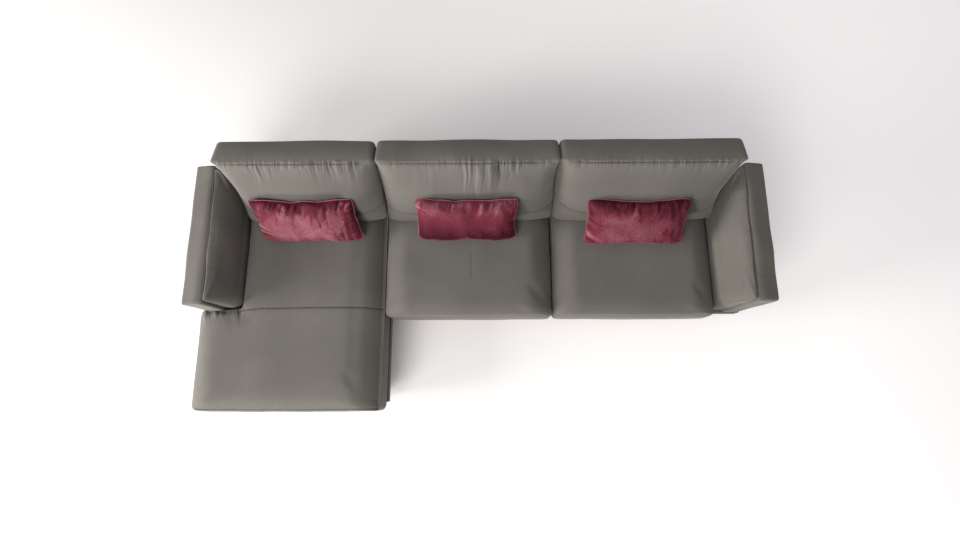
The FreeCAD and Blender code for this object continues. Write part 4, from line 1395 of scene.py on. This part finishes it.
@dataclass
class Arm:
    """An arm: its padded casing, the wedge pad inside it and the welt between them.

    Attributes:
        side: Which end of the sofa it stands at.
        front_proud: How far the casing stands out over its front plane.
        outer: X of the outer side, without its sign.
        inner: X of the casing's inner side, without its sign.
        front: Y of the front.
        rear: Y of the rear.
        low: Height of the casing's foot.
        high: Height of its top.
        pad_nose: X of the pad's foot, without its sign.
        pad_rear: Y of the pad's rear.
        seat_line: Height of the seats' tops.
        slope: How far the top falls outward.
        lean: How far the outer side leans out.
        inner_drop: How far the top falls at its inner edge.
        rear_lean: How far the rear leans back, and once more that at its outer edge.
        taper: How much farther out the casing's inner side lies at its rear.
        nose_turn: How far the pad's front turns away.
        casing: The casing, once it is built.
        pad: The pad, once it is built.
    """

    side: Side
    front_proud: float = 2 * MM
    outer: float = 1.650
    inner: float = 1.536
    front: float = -0.130
    rear: float = 0.671
    low: float = 0.178
    high: float = 0.630
    pad_nose: float = 1.424
    pad_rear: float = 0.5727
    seat_line: float = 0.4133
    slope: float = 24 * MM
    lean: float = 15 * MM
    inner_drop: float = 7 * MM
    rear_lean: float = 7 * MM
    taper: float = 16 * MM
    nose_turn: float = 56 * MM
    casing: bpy.types.Object | None = None
    pad: bpy.types.Object | None = None

    def name(self) -> str:
        """Name of this arm's end."""
        return self.side.name.lower()

    def build(self, materials: Materials) -> None:
        """Make the casing: a rounded plan climbs, turns over its top edge and closes on its middle line.

        The top falls outward a little, and the outer side and the rear lean out to it, as a padded arm's do.
        """
        corners = self.plan()
        turn = 9 * MM
        angles = np.linspace(0, np.pi / 2, 6)
        climb = [(z, 0.0) for z in np.linspace(self.low, self.high - turn, 24)]
        over = [(self.high - turn + turn * np.sin(a), turn * (1 - np.cos(a))) for a in angles[1:]]
        closing = [(self.high, inset) for inset in np.linspace(turn, 0.048, 6)[1:]]
        rings = []
        for height, inset in climb + over + closing:
            radius = max(1 * MM, 9 * MM - inset)
            moved = inset_corners(corners, inset)
            rings.append(self.plan_ring(moved, radius, height))
        rings = np.array(rings)
        outward = smooth(rings[..., 0] * self.side.value, self.inner + 10 * MM, self.outer + 30 * MM)
        rings[..., 2] -= self.slope * outward * smooth(rings[..., 2], 0.5, self.high)
        inward = 1 - smooth(rings[..., 0] * self.side.value, self.inner, self.inner + 45 * MM)
        rings[..., 2] -= self.inner_drop * inward * smooth(rings[..., 2], 0.5, self.high)
        rings[..., 0] += self.side.value * self.lean * outward * smooth(rings[..., 2], 0.3, 0.58)
        backward = smooth(rings[..., 1], self.rear - 90 * MM, self.rear)
        leaned = self.rear_lean + self.rear_lean * outward
        rings[..., 1] += leaned * backward * smooth(rings[..., 2], 0.3, 0.58)
        self.casing = closed_shell(f"{self.name()}_arm_cover", rings)
        remesh(self.casing, 8.5 * MM)
        relax(self.casing, 2)
        refine(self.casing)
        welt_x = self.side.value * (self.inner + 7 * MM)
        band = np.array([[welt_x, self.front + 12 * MM, self.high], [welt_x, self.rear - 12 * MM, self.high]])
        work: list[Sewing] = [
            Gathers(
                band, (0, 0, 1), (1, 1, 0), height=0.9 * MM, spacing=55 * MM, reach=150 * MM, slant=0.1,
                patch=200 * MM, seed=5 + self.side.value,
            ),
        ]
        sew(self.casing, work, dents=1.2 * MM, dent_size=0.2, seed=11)
        materials.dress(self.casing, Body.FRAME, Slot.COVER, (f"{self.name()}_arm_casing",))

    def plan(self) -> Array:
        """Give the casing's plan corners, anticlockwise; its rear is a little wider than its front."""
        inner, sign = self.inner - 1.5 * MM, self.side.value
        front, rear = self.front - self.front_proud, self.rear + 3 * MM
        corners = np.array(
            [
                [inner + 2 * MM, front],
                [self.outer + 1 * MM, front],
                [self.outer + 8 * MM, rear],
                [inner + self.taper, rear],
            ]
        )
        corners[:, 0] *= sign
        return corners if sign > 0 else corners[[1, 0, 3, 2]]

    @staticmethod
    def plan_ring(corners: Array, radius: float, height: float) -> Array:
        """Make one rounded rectangle with a fixed number of points on each side."""
        spans = np.array([0.114, 0.801, 0.114, 0.801])
        points = rounded_loop(
            corners, np.full(4, radius), np.zeros(4), 6, np.round(spans / (6 * MM)).astype(int)
        )
        return np.column_stack([points, np.full(len(points), height)])

    def pad_shell(self) -> None:
        """Carry the wedge's profile along Y.

        At its front it shrinks by a quarter ellipse. Its rear end leans back as the back panel does.
        """
        nose, inner, top = self.pad_nose, self.inner - 1.8 * MM, self.high - 1 * MM
        corners = np.array(
            [(nose, 0.1813), (inner, 0.1813), (inner, top), (inner - 24 * MM, top), (nose, self.seat_line)]
        )
        corners = inset_corners(corners, 2 * MM)
        radii, bows = np.array([12, 5, 3, 7, 20]) * MM, np.array([0, 0, 0, 8, 0]) * MM
        loop = rounded_loop(corners, radii, bows, 6, side_counts(corners, 12 * MM))
        middle = np.array([1.49, 0.38])
        start, finish, run = self.front + 3 * MM, self.pad_rear, 20 * MM
        turns = run * (1 - np.cos(np.linspace(0, np.pi / 2, 7)))
        inside = np.arange(start + run, finish - run, 16 * MM)
        places = np.concatenate([start + turns, inside[1:], [finish]])
        drawn = rounding(places - start, run)
        flat = middle + (loop - middle)[None] * (1 - 0.07 * drawn[:, None, None])
        near = np.clip(1 - (places - start) / 75 / MM, 0, 1)[:, None]
        across = np.clip((inner - flat[..., 0]) / (inner - nose), 0, 1)
        flat[..., 0] += self.nose_turn * (1 - np.sqrt(1 - near**2)) * across
        back = np.clip((places - start) / (finish - start), 0, 1)[:, None]
        flat[..., 0] += self.taper * back * (1 - across) ** 0.5
        lean = 0.415 * np.clip(flat[..., 1:] - self.seat_line, 0, None)
        along = places[:, None, None] + lean * smooth(places, 0.35, finish)[:, None, None]
        points = np.concatenate([flat[..., :1] * self.side.value, along, flat[..., 1:]], 2)
        if self.side is Side.RIGHT:
            points = points[:, ::-1]
        self.pad = closed_shell(f"{self.name()}_arm_pad_cover", points)
        remesh(self.pad, 7.5 * MM)

    def swell(self, swelling: Swelling) -> None:
        """Hold the pad's back and foot, and free its slope."""
        points, normals = mesh_points(self.pad)
        held = np.maximum(
            smooth(normals[:, 0] * self.side.value, 0.5, 0.8), 1 - smooth(points[:, 2], 0.41, 0.46)
        )
        held = np.maximum(held, 1 - smooth(points[:, 1], self.front + 12 * MM, self.front + 60 * MM))
        swelling.add(self.pad, held, pressure=4, cap=10 * MM)

    def press(self) -> None:
        """Flatten the pad against the casing, the back panel and the seat's foot."""
        points, _ = mesh_points(self.pad)
        sign = self.side.value
        taper = self.taper * np.clip((points[:, 1] - self.front) / (self.rear - self.front), 0, 1)
        points[:, 0] = sign * np.minimum(sign * points[:, 0], self.inner - 1.6 * MM + taper)
        rear = self.pad_rear + 0.415 * np.clip(points[:, 2] - self.seat_line, 0, None)
        points[:, 1] = np.minimum(points[:, 1], rear)
        points[:, 2] = np.maximum(points[:, 2], 0.1805)
        set_points(self.pad, points)

    def finish(self, materials: Materials) -> None:
        """Sew the pad's cross seam and its top edge."""
        self.press()
        refine(self.pad)
        sign = self.side.value
        slope = (-0.92 * sign, 0, 0.39)
        cross = np.array(
            [
                [sign * 1.53, 0.268, 0.62],
                [sign * 1.49, 0.254, 0.54],
                [sign * 1.44, 0.262, 0.45],
                [sign * 1.424, 0.27, 0.3],
            ]
        )
        top = np.array([[sign * 1.512, self.front + 10 * MM, 0.622], [sign * 1.512, 0.64, 0.622]])
        work: list[Sewing] = [
            Seam(
                cross, slope, (1, 1, 1), width=3.5 * MM, depth=1.6 * MM, puff=1.2 * MM, reach=26 * MM,
                puckers=0.4 * MM, seed=3, drawn=0.2,
            ),
            Gathers(
                top, slope, (1, 1, 1), height=1.3 * MM, spacing=19 * MM, reach=45 * MM, slant=0.0,
                patch=90 * MM, seed=8 + sign,
            ),
        ]
        sew(self.pad, work, dents=2 * MM, dent_size=0.24, seed=21 + sign)
        materials.dress(self.pad, Body.FRAME, Slot.COVER, (f"{self.name()}_arm_pad",))
        self.welt(materials)

    def welt(self, materials: Materials) -> None:
        """Run a thin cord of cloth along the casing's inner top edge and down its front."""
        sign, near, far = self.side.value, self.inner + 1.5 * MM, self.inner - 0.5 * MM + self.taper
        path = np.array(
            [
                [sign * far, self.rear - 8 * MM, self.high - 66 * MM],
                [sign * far, self.rear - 6 * MM, self.high - 24 * MM],
                [sign * far, self.rear - 18 * MM, self.high - 9 * MM],
                [sign * near, self.front + 18 * MM, self.high - 9 * MM],
                [sign * near, self.front + 5 * MM, self.high - 22 * MM],
                [sign * near, self.front + 3 * MM, self.low + 6 * MM],
            ]
        )
        made = tube(
            f"{self.name()}_arm_welt", spread(path, 12 * MM), radius=1.9 * MM, normal=np.array([1.0, 0, 0]),
            closed=False,
        )
        materials.dress(made, Body.FRAME, Slot.COVER, ())


@dataclass
class BackPanel:
    """A padded panel behind a back cushion, covered in plain cloth.

    Attributes:
        name: Name of the piece.
        node: The model's node that it stands for.
        low: Left end.
        high: Right end.
        profile: Corners of its section, Y and Z, from its front foot.
    """

    name: str
    node: str
    low: float
    high: float
    profile: tuple[tuple[float, float], ...] = (
        (0.573, 0.178),
        (0.671, 0.178),
        (0.671, 0.5895),
        (0.646, 0.5895),
        (0.573, 0.4136),
    )

    def build(self, materials: Materials) -> None:
        """Carry the wedge's profile along X, drawn in a little at both ends."""
        corners = np.array(self.profile)
        radii = np.array([4, 6, 10, 8, 12]) * MM
        loop = rounded_loop(corners, radii, np.array([0, 3, 0, 0, 0]) * MM, 6, side_counts(corners, 9 * MM))
        middle = loop.mean(0)
        start, finish, run = self.low + 0.5 * MM, self.high - 0.5 * MM, 12 * MM
        turns = run * (1 - np.cos(np.linspace(0, np.pi / 2, 6)))
        inside = np.arange(start + run, finish - run, 9 * MM)
        places = np.concatenate([start + turns, inside[1:], (finish - turns)[::-1]])
        near = np.minimum(places - start, finish - places)
        drawn = rounding(near, run)
        flat = middle + (loop - middle)[None] * (1 - 0.06 * drawn[:, None, None])
        across = np.broadcast_to(places[:, None, None], (*flat.shape[:2], 1))
        made = closed_shell(self.name, np.concatenate([across, flat], 2))
        top = np.array([[self.low, 0.671, 0.575], [self.high, 0.671, 0.575]])
        work: list[Sewing] = [
            Seam(
                top, (0, 1, 0.2), (1, 1, 1), width=3.5 * MM, depth=2.5 * MM, puff=1 * MM, reach=22 * MM,
                puckers=0.5 * MM,
            )
        ]
        sew(made, work, dents=1.2 * MM, dent_size=0.3, seed=round(abs(self.low) * 100))
        materials.dress(made, Body.FRAME, Slot.COVER, (self.node,))


@dataclass
class ScatterCushion:
    """A loose velvet cushion: two sheets sewn together round a cord of the same cloth.

    Attributes:
        side: Which of the three it is.
        body: What it moves with.
        tilt: How far it is turned up from lying flat, in radians.
        seed: Number that picks its folds.
        length: Its size along the sofa.
        width: Its size up the back.
        thick: Its size through.
        pinch: How far the ends, the top edge and the bottom edge draw in between the corners.
        pile: Tone of the pile, which paints light and shade on the cushion: in all, towards the top and
            towards the right.
        skew: How far its top lies to the left, for each unit of its width.
        shade: Painted shade on the top, right and bottom edges: how dark each is.
        cells: Squares of each sheet, across and up.
        made: The cover, once it is built.
        rim: Numbers of the points on its edge.
    """

    side: str
    body: Body
    tilt: float
    seed: int
    length: float = 0.590
    width: float = 0.292
    thick: float = 0.136
    pinch: tuple[float, float, float] = (0.03, 0.08, -0.02)
    pile: tuple[float, float, float] = (0, 0, 0)
    skew: float = 0
    shade: tuple[float, float, float] = (0.45, 0.4, 0)
    cells: tuple[int, int] = (92, 48)
    made: bpy.types.Object | None = None
    rim: Array | None = None

    def shell(self) -> None:
        """Lay two sheets on a grid of u and v from -1 to 1.

        The sheets part by a height that is the product of 1 - u^4 and 1 - v^4, to the power of 0.5.
        Between the corners the ends and the top edge draw in by a parabola, so that the corners stand out as
        ears with rounded tips, and the bottom edge sags with rounder corners.
        """
        across, up = self.cells
        u, v = np.meshgrid(np.linspace(-1, 1, across + 1), np.linspace(-1, 1, up + 1), indexing="ij")
        x = self.length / 2 * u
        y = self.width / 2 * v
        z = 0.45 * self.thick * ((1 - u**4) * (1 - v**4)) ** 0.5
        x = x * (1 - self.pinch[0] * (1 - v**2) * u**2)
        y = y * (1 - np.where(v > 0, self.pinch[1], self.pinch[2]) * (1 - u**2) * v**2)
        y = y * (1 - np.where(v < 0, 0.12, 0.07) * u**8 * v**2)
        x = x * (1 - 0.045 * u**2 * v**8)
        x = x - self.skew * y
        count = (across + 1) * (up + 1)
        upper = np.arange(count).reshape(across + 1, up + 1)
        lower = upper.copy()
        lower[1:-1, 1:-1] = count + np.arange((across - 1) * (up - 1)).reshape(across - 1, up - 1)
        points = np.stack([x, y, z], 2).reshape(-1, 3)
        inner = np.stack([x, y, -z], 2)[1:-1, 1:-1].reshape(-1, 3)
        faces = [self.cell_faces(upper), self.cell_faces(lower)[:, ::-1]]
        self.made = put_mesh(f"scatter_cover_{self.side}", np.vstack([points, inner]), np.vstack(faces))
        self.rim = np.concatenate([upper[:-1, 0], upper[-1, :-1], upper[:0:-1, -1], upper[0, :0:-1]])

    @staticmethod
    def cell_faces(numbers: Array) -> Array:
        """Number the faces of a grid of points."""
        parts = (numbers[:-1, :-1], numbers[1:, :-1], numbers[1:, 1:], numbers[:-1, 1:])
        return np.stack(parts, 2).reshape(-1, 4)

    def swell(self, swelling: Swelling) -> None:
        """Free the whole cover."""
        points, _ = mesh_points(self.made)
        swelling.add(self.made, np.zeros(len(points)), pressure=4, cap=18 * MM, bending=0.05)

    def place(self) -> Matrix:
        """Turn and move from the cushion's own plane to where the model has it."""
        low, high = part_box(f"scatter_cushion_{self.side}")
        return Matrix.Translation((low + high) / 2) @ Matrix.Rotation(self.tilt, 4, "X")

    def finish(self, materials: Materials) -> None:
        """Fit the cover to its size, sew its folds, run the cord round it and set it in place."""
        points, _ = mesh_points(self.made)
        centre = (points.max(0) + points.min(0)) / 2
        spans = points.max(0) - points.min(0)
        spans[0] -= self.skew * self.width
        points = (points - centre) * np.array([self.length, self.width, self.thick]) / spans
        set_points(self.made, points)
        half_x, half_y = self.length / 2, self.width / 2
        work: list[Sewing] = []
        for sheet in (1, -1):
            for start, finish, height, reach in (
                ((-half_x, half_y), (half_x, half_y), 6.0 * MM, 80 * MM),
                ((-half_x, -half_y), (half_x, -half_y), 3.0 * MM, 40 * MM),
                ((-half_x, -half_y), (-half_x, half_y), 5.5 * MM, 70 * MM),
                ((half_x, -half_y), (half_x, half_y), 5.0 * MM, 60 * MM),
            ):
                line = np.array([[*start, 0], [*finish, 0]])
                seed = self.seed * 7 + len(work)
                work.append(
                    Gathers(
                        line, (0, 0, sheet), (1, 1, 0), height=height, spacing=18 * MM, reach=reach,
                        slant=0.4, patch=90 * MM, seed=seed,
                    )
                )
        sew(self.made, work, dents=3 * MM, dent_size=0.14, seed=self.seed)
        # Painted shade and highlight: the cushion's tone is lighter over its middle and darker at its top,
        # right and bottom edges, where light falls less, with strokes of the pile over it.
        across, up = points[:, 0] / half_x, points[:, 1] / half_y
        pile_and_painted_shading = self.pile[0] + self.pile[1] * up + self.pile[2] * across
        strokes = swell_noise(points * np.array([1, 0.35, 1]), 38 * MM, self.seed)
        stray = 0.26 * strokes + 0.12 * swell_noise(points, 13 * MM, 3)
        pile_and_painted_shading += 0.2 * (1 - across**2) * (1 - up**2)
        top, right = smooth(up + stray, 0.45, 0.8), smooth(across + stray, 0.68, 0.82)
        pile_and_painted_shading -= self.shade[0] * top + self.shade[1] * right
        pile_and_painted_shading -= self.shade[2] * smooth(-up + stray, 0.4, 1.0)
        store(self.made, "pile_and_painted_shading", pile_and_painted_shading)
        rim = mesh_points(self.made)[0][self.rim]
        cord = tube(
            f"scatter_piping_{self.side}", rim, radius=3.3 * MM, normal=np.array([0, 0, 1.0]), closed=True
        )
        refine(self.made)
        for piece in (self.made, cord):
            piece.data.transform(self.place())
        node = f"scatter_cushion_{self.side}"
        materials.dress(self.made, self.body, Slot.VELVET, (node,))
        materials.dress(cord, self.body, Slot.VELVET, ())
        cord.data.materials[0] = piping_velvet()


def piping_velvet() -> bpy.types.Material:
    """Velvet round a cord, in the cover's cloth but drawn paler: a painted highlight along the cord."""
    found = bpy.data.materials.get("piping_velvet_painted_highlight")
    return found or CottonVelvet("piping_velvet_painted_highlight", "#6c2b38", "#8f4c59", "#b07a83", 14 * MM).make()


@dataclass
class BaseSkin:
    """Cloth stapled round the rails of a base.

    Attributes:
        name: Name of the piece.
        low: Left end.
        high: Right end.
        front: Y of the front.
        rear: Y of the rear.
        bottom: Height of its foot.
        top: Height of its top.
    """

    name: str
    low: float
    high: float
    front: float
    rear: float = 0.671
    bottom: float = 0.1085
    top: float = 0.179

    def build(self, materials: Materials) -> None:
        """Make a closed band: an outer wall, a flange over the rails and an inner wall just off them.

        Each step is a height and how far it stands out from the rails, in millimetres.
        """
        corners = np.array(
            [[self.low, self.front], [self.high, self.front], [self.high, self.rear], [self.low, self.rear]]
        )
        bows, counts = np.zeros(4), side_counts(corners, 20 * MM)
        steps = [
            (self.bottom, 1.8),
            (self.bottom + 3 * MM, 2.5),
            (self.top - 1.3 * MM, 2.5),
            (self.top - 0.2 * MM, 1.2),
            (self.top - 0.2 * MM, -30),
            (self.top - 0.8 * MM, -30),
            (self.top - 0.8 * MM, 0.3),
            (self.bottom + 3 * MM, 0.3),
            (self.bottom - 0.3 * MM, 0.9),
        ]
        rings = []
        for height, proud in steps:
            radius = 6 * MM if proud > 0 else 1 * MM
            loop = rounded_loop(inset_corners(corners, -proud * MM), np.full(4, radius), bows, 5, counts)
            rings.append(np.column_stack([loop, np.full(len(loop), height)]))
        rings = np.array(rings)
        count, around = rings.shape[:2]
        faces = ring_faces(count + 1, around) % (count * around)
        made = put_mesh(self.name, rings.reshape(-1, 3), faces)
        sew(made, [], dents=0, dent_size=0.3, seed=3)
        materials.dress(made, Body.FRAME, Slot.COVER, ())


@dataclass(frozen=True)
class SoftBox:
    """A square soft lamp that is turned to the sofa.

    Attributes:
        name: Name of the lamp.
        place: Its middle.
        size: Length of its side.
        power: Watts.
    """

    name: str
    place: tuple[float, float, float]
    size: float
    power: float

    def hang(self) -> None:
        """Make the lamp and turn it to the sofa's middle."""
        data = bpy.data.lights.new(self.name, "AREA")
        data.shape, data.size = "SQUARE", self.size
        data.energy = self.power
        data.color = linear("#fffcf7")[:3]
        made = bpy.data.objects.new(self.name, data)
        place = np.array(self.place)
        away = place - np.array([0, 0, 0.3])
        away /= np.linalg.norm(away)
        side = np.cross([0, 0, 1], away)
        side /= np.linalg.norm(side)
        columns = (*zip(side, np.cross(away, side), away, place), (0, 0, 0, 1))
        made.matrix_world = Matrix(columns)
        bpy.context.scene.collection.objects.link(made)


@dataclass
class Studio:
    """The floor, the lamps and the camera.

    Attributes:
        eye: Place of the camera.
        right: Direction of the picture's right.
        up: Direction of the picture's top.
        forward: Direction that the camera looks.
        lens: Focal length in millimetres, for a picture 36 mm wide.
        boxes: The soft lamps.
        fill: Strength of the even light.
        floor_reach: Half the floor's side.
    """

    eye: tuple[float, float, float] = (0.029232, -0.587664, 3.367728)
    right: tuple[float, float, float] = (0.99995914, -0.00218833, -0.00877045)
    up: tuple[float, float, float] = (0.00402139, 0.97664713, 0.21481204)
    forward: tuple[float, float, float] = (-0.00809555, 0.21483854, -0.97661603)
    lens: float = 18.883
    boxes: tuple[SoftBox, ...] = (
        SoftBox("side_soft_box", place=(-7.63, -1.49, 2.31), size=3.3, power=790),
        SoftBox("front_soft_box", place=(-2.29, -4.42, 4.25), size=3.25, power=330),
    )
    fill: float = 0.31
    floor_reach: float = 30.0

    def build(self) -> None:
        """Set up everything that isn't the sofa."""
        self.camera()
        self.floor()
        self.lamps()
        bpy.context.scene.view_settings.view_transform = "Standard"

    def camera(self) -> None:
        """Place the camera almost straight above the sofa."""
        data = bpy.data.cameras.new("camera")
        data.lens, data.sensor_width = self.lens, 36
        data.sensor_fit = "HORIZONTAL"
        data.clip_end = 60
        made = bpy.data.objects.new("camera", data)
        columns = (*zip(self.right, self.up, [-value for value in self.forward], self.eye), (0, 0, 0, 1))
        made.matrix_world = Matrix(columns)
        bpy.context.scene.collection.objects.link(made)
        bpy.context.scene.camera = made

    def floor(self) -> None:
        """Lay a wide pale floor that keeps the sofa's shadow.

        To the camera it glows a little, more so away from the lamp, so that it is white where it is lit. The
        glow is painted light: growing along X, it also lightens the sofa's shadow more and more towards the
        right.
        Far off, behind the lamps, it glows more.
        """
        reach = self.floor_reach
        points = np.array([[-reach, -reach, 0], [reach, -reach, 0], [reach, reach, 0], [-reach, reach, 0]])
        made = put_mesh("studio_floor", points, np.array([[0, 1, 2, 3]]))
        finish, tree = new_material("matt_white_vinyl_floor")
        seen = seen_directly(tree)
        paint = add_node(tree, "BsdfDiffuse", {"Color": linear("#f4f2f2")}).outputs[0]
        place = add_node(tree, "TexCoord").outputs["Object"]
        across = add_node(tree, "SeparateXYZ", {"Vector": place}).outputs["X"]
        level = add_node(tree, "MapRange", {0: across, 1: -1.6, 2: 2.4, 3: 0.0, 4: 0.35}).outputs[0]
        off = add_node(tree, "VectorMath", {0: place}, operation="LENGTH").outputs["Value"]
        far = add_node(tree, "MapRange", {0: off, 1: 5.0, 2: 10.0, 3: 0.0, 4: 0.6}).outputs[0]
        level = add_node(tree, "Math", {0: level, 1: far}, operation="ADD").outputs[0]
        glow = add_node(tree, "Emission", {"Color": linear("#fffcfd"), "Strength": level}).outputs[0]
        both = add_node(tree, "AddShader", {0: paint, 1: glow}).outputs[0]
        surface(tree, add_node(tree, "MixShader", {"Fac": seen, 1: paint, 2: both}))
        made.data.materials.append(finish)

    def lamps(self) -> None:
        """Hang the soft lamps, and fill the room with even light."""
        world = bpy.data.worlds.new("studio_air")
        bpy.context.scene.world = world
        world.use_nodes = True
        tree = world.node_tree
        tree.nodes.clear()
        seen = seen_directly(tree)
        fill = add_node(tree, "Background", {"Color": linear("#fbfbff"), "Strength": self.fill}).outputs[0]
        white = add_node(tree, "Background", {"Color": linear("#ffffff"), "Strength": 1.0}).outputs[0]
        mixed = add_node(tree, "MixShader", {"Fac": seen, 1: fill, 2: white}).outputs[0]
        add_node(tree, "OutputWorld", {"Surface": mixed})
        for box in self.boxes:
            box.hang()


def seats() -> list[SeatCushion]:
    """List the three seats with their outlines and their own seams."""
    chaise = [
        (-1.681, -0.736), (-0.5635, -0.736), (-0.5635, 0.5727),
        (-1.4225, 0.5727), (-1.4225, -0.133), (-1.684, -0.133),
    ]
    centre = [(-0.5615, -0.184), (0.4435, -0.184), (0.4435, 0.5727), (-0.5615, 0.5727)]
    end = [(0.4465, -0.184), (1.4225, -0.184), (1.4225, 0.5727), (0.4465, 0.5727)]
    up = (0, 0, 1)
    flat = (1, 1, 0)
    cross = np.array(
        [[-1.43, -0.150, 0.41], [-1.30, -0.139, 0.41], [-0.95, -0.135, 0.41], [-0.545, -0.133, 0.41]]
    )
    brow = np.array([[-1.665, -0.721, 0.40], [-1.1, -0.724, 0.40], [-0.585, -0.720, 0.40]])
    wrap = np.array([[-1.66, -0.140, 0.39], [-1.41, -0.140, 0.40]])
    tuck = np.array([[-1.66, -0.150, 0.39], [-1.52, -0.140, 0.40]])
    crease = np.array([[-0.045, 0.20, 0.41], [-0.048, 0.11, 0.41], [-0.045, 0.05, 0.41]])
    chaise_work: list[Sewing] = [
        Seam(
            cross, up, flat, width=4 * MM, depth=2 * MM, puff=1 * MM, reach=45 * MM, puckers=0.25 * MM,
            spacing=26 * MM, seed=4,
        ),
        # The tuck's groove is also darkened in the cloth: painted shade in the tuck beside the arm's front.
        Seam(tuck, (0, -0.3, 0.9), (1, 1, 0), width=26 * MM, depth=7 * MM, puff=0, drawn=0),
        Gathers(
            wrap, (0, -0.3, 0.9), flat, height=8 * MM, spacing=36 * MM, reach=85 * MM, slant=-0.45,
            patch=600 * MM, seed=10,
        ),
        Seam(
            brow, (0, -0.4, 0.9), flat, width=4 * MM, depth=2 * MM, puff=1.5 * MM, reach=30 * MM,
            puckers=0.6 * MM, spacing=18 * MM, seed=6,
        ),
    ]
    centre_work: list[Sewing] = [
        Seam(crease, up, flat, width=5 * MM, depth=0.7 * MM, puff=0.5 * MM, reach=30 * MM, drawn=0.08)
    ]
    return [
        SeatCushion(
            "chaise_seat_cover", "chaise_seat_cushion", np.array(chaise), notch=4, voxel=12 * MM, seed=3,
            sides=(-1.68, -0.5635), side_drops=(28 * MM, 84 * MM), leans=(-3 * MM, -16 * MM),
            walls=((1, -0.5630),), bows=(3 * MM, 0, 0, 0, 0, 3 * MM), extra=chaise_work,
        ),
        SeatCushion(
            "centre_seat_cover", "centre_seat_cushion", np.array(centre), seed=5,
            sides=(-0.5615, 0.4435), leans=(-15 * MM, 0), walls=((-1, 0.5620), (1, 0.4440)),
            extra=centre_work,
        ),
        SeatCushion(
            "end_seat_cover", "end_seat_cushion", np.array(end), seed=8,
            sides=(0.4465, 1.4225), walls=((-1, -0.4460), (1, 1.4235)),
        ),
    ]


def backs() -> list[BackCushion]:
    """List the three back cushions with their folds."""
    return [
        BackCushion(
            "chaise_back_cover", "chaise_back_cushion", Body.CHAISE_BACK, low=-1.4225, high=-0.5645,
            folds=[
                (6 * MM, 90 * MM, 26 * MM, -1.30, -0.66), (3 * MM, 45 * MM, 12 * MM, -1.42, -0.57)
            ], seed=2,
            flare=(27 * MM, 0), dent=(-1.24, -0.80, 0.655),
        ),
        BackCushion(
            "centre_back_cover", "centre_back_cushion", Body.CENTRE_BACK, low=-0.5615, high=0.4435,
            folds=[(8 * MM, 150 * MM, 26 * MM, -0.38, 0.26), (3 * MM, 50 * MM, 12 * MM, -0.55, 0.43)], seed=5,
            dent=(-0.29, 0.19, 0.655),
        ),
        BackCushion(
            "end_back_cover", "end_back_cushion", Body.END_BACK, low=0.4465, high=1.4225,
            folds=[(3 * MM, 40 * MM, 13 * MM, 0.46, 1.41), (1.5 * MM, 90 * MM, 22 * MM, 0.50, 1.30)], seed=9,
            flare=(0, 26 * MM), lumbar=(48 * MM, 10 * MM), dent=(0.69, 1.20, 0.632),
        ),
    ]


def main() -> None:
    """Build the sofa's looks piece by piece."""
    logging.basicConfig(level=logging.INFO, format="%(name)s %(message)s")
    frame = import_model()
    Studio().build()
    materials = Materials()
    materials.dress_nodes(frame["nodes"])

    soft: list = [*seats(), *backs()]
    arms = [Arm(Side.LEFT, front_proud=16 * MM), Arm(Side.RIGHT, front_proud=6 * MM)]
    # Each cushion's pile and shade paint the light and shade that fall on it.
    scatters = [
        ScatterCushion(
            "left", Body.SCATTER_LEFT, tilt=np.radians(54), seed=3, pile=(0.04, -0.12, -0.02), skew=0.11,
            shade=(0.24, 0.26, 0.05),
        ),
        ScatterCushion(
            "centre", Body.SCATTER_CENTRE, tilt=np.radians(54), seed=6, pile=(-0.26, 0.44, 0.0),
            shade=(0.02, 0.12, 0.22),
        ),
        ScatterCushion(
            "right", Body.SCATTER_RIGHT, tilt=np.radians(45.9), seed=8, pile=(-0.06, -0.10, 0.0),
            shade=(0.22, 0.18, 0.1),
        ),
    ]
    for piece in [*soft, *scatters]:
        piece.shell()
    for arm in arms:
        arm.build(materials)
        arm.pad_shell()
    swelling = Swelling()
    for piece in [*soft, *scatters, *arms]:
        piece.swell(swelling)
    swelling.run()
    for piece in [*soft, *scatters, *arms]:
        piece.finish(materials)
    for name in ("chaise", "centre", "end"):
        FoamCore(name).build(materials)
    for name, low, high in (("chaise", -1.549, -0.567), ("centre", -0.559, 0.441), ("end", 0.449, 1.549)):
        BackPanel(f"{name}_panel_cover", f"{name}_back_panel", low, high).build(materials)
    for name, low, high, front in (
        ("chaise", -1.644, -0.567, -0.684),
        ("centre", -0.559, 0.441, -0.138),
        ("end", 0.449, 1.644, -0.138),
    ):
        BaseSkin(f"{name}_base_cover", low=low, high=high, front=front).build(materials)


if __name__ == "__main__":
    main()
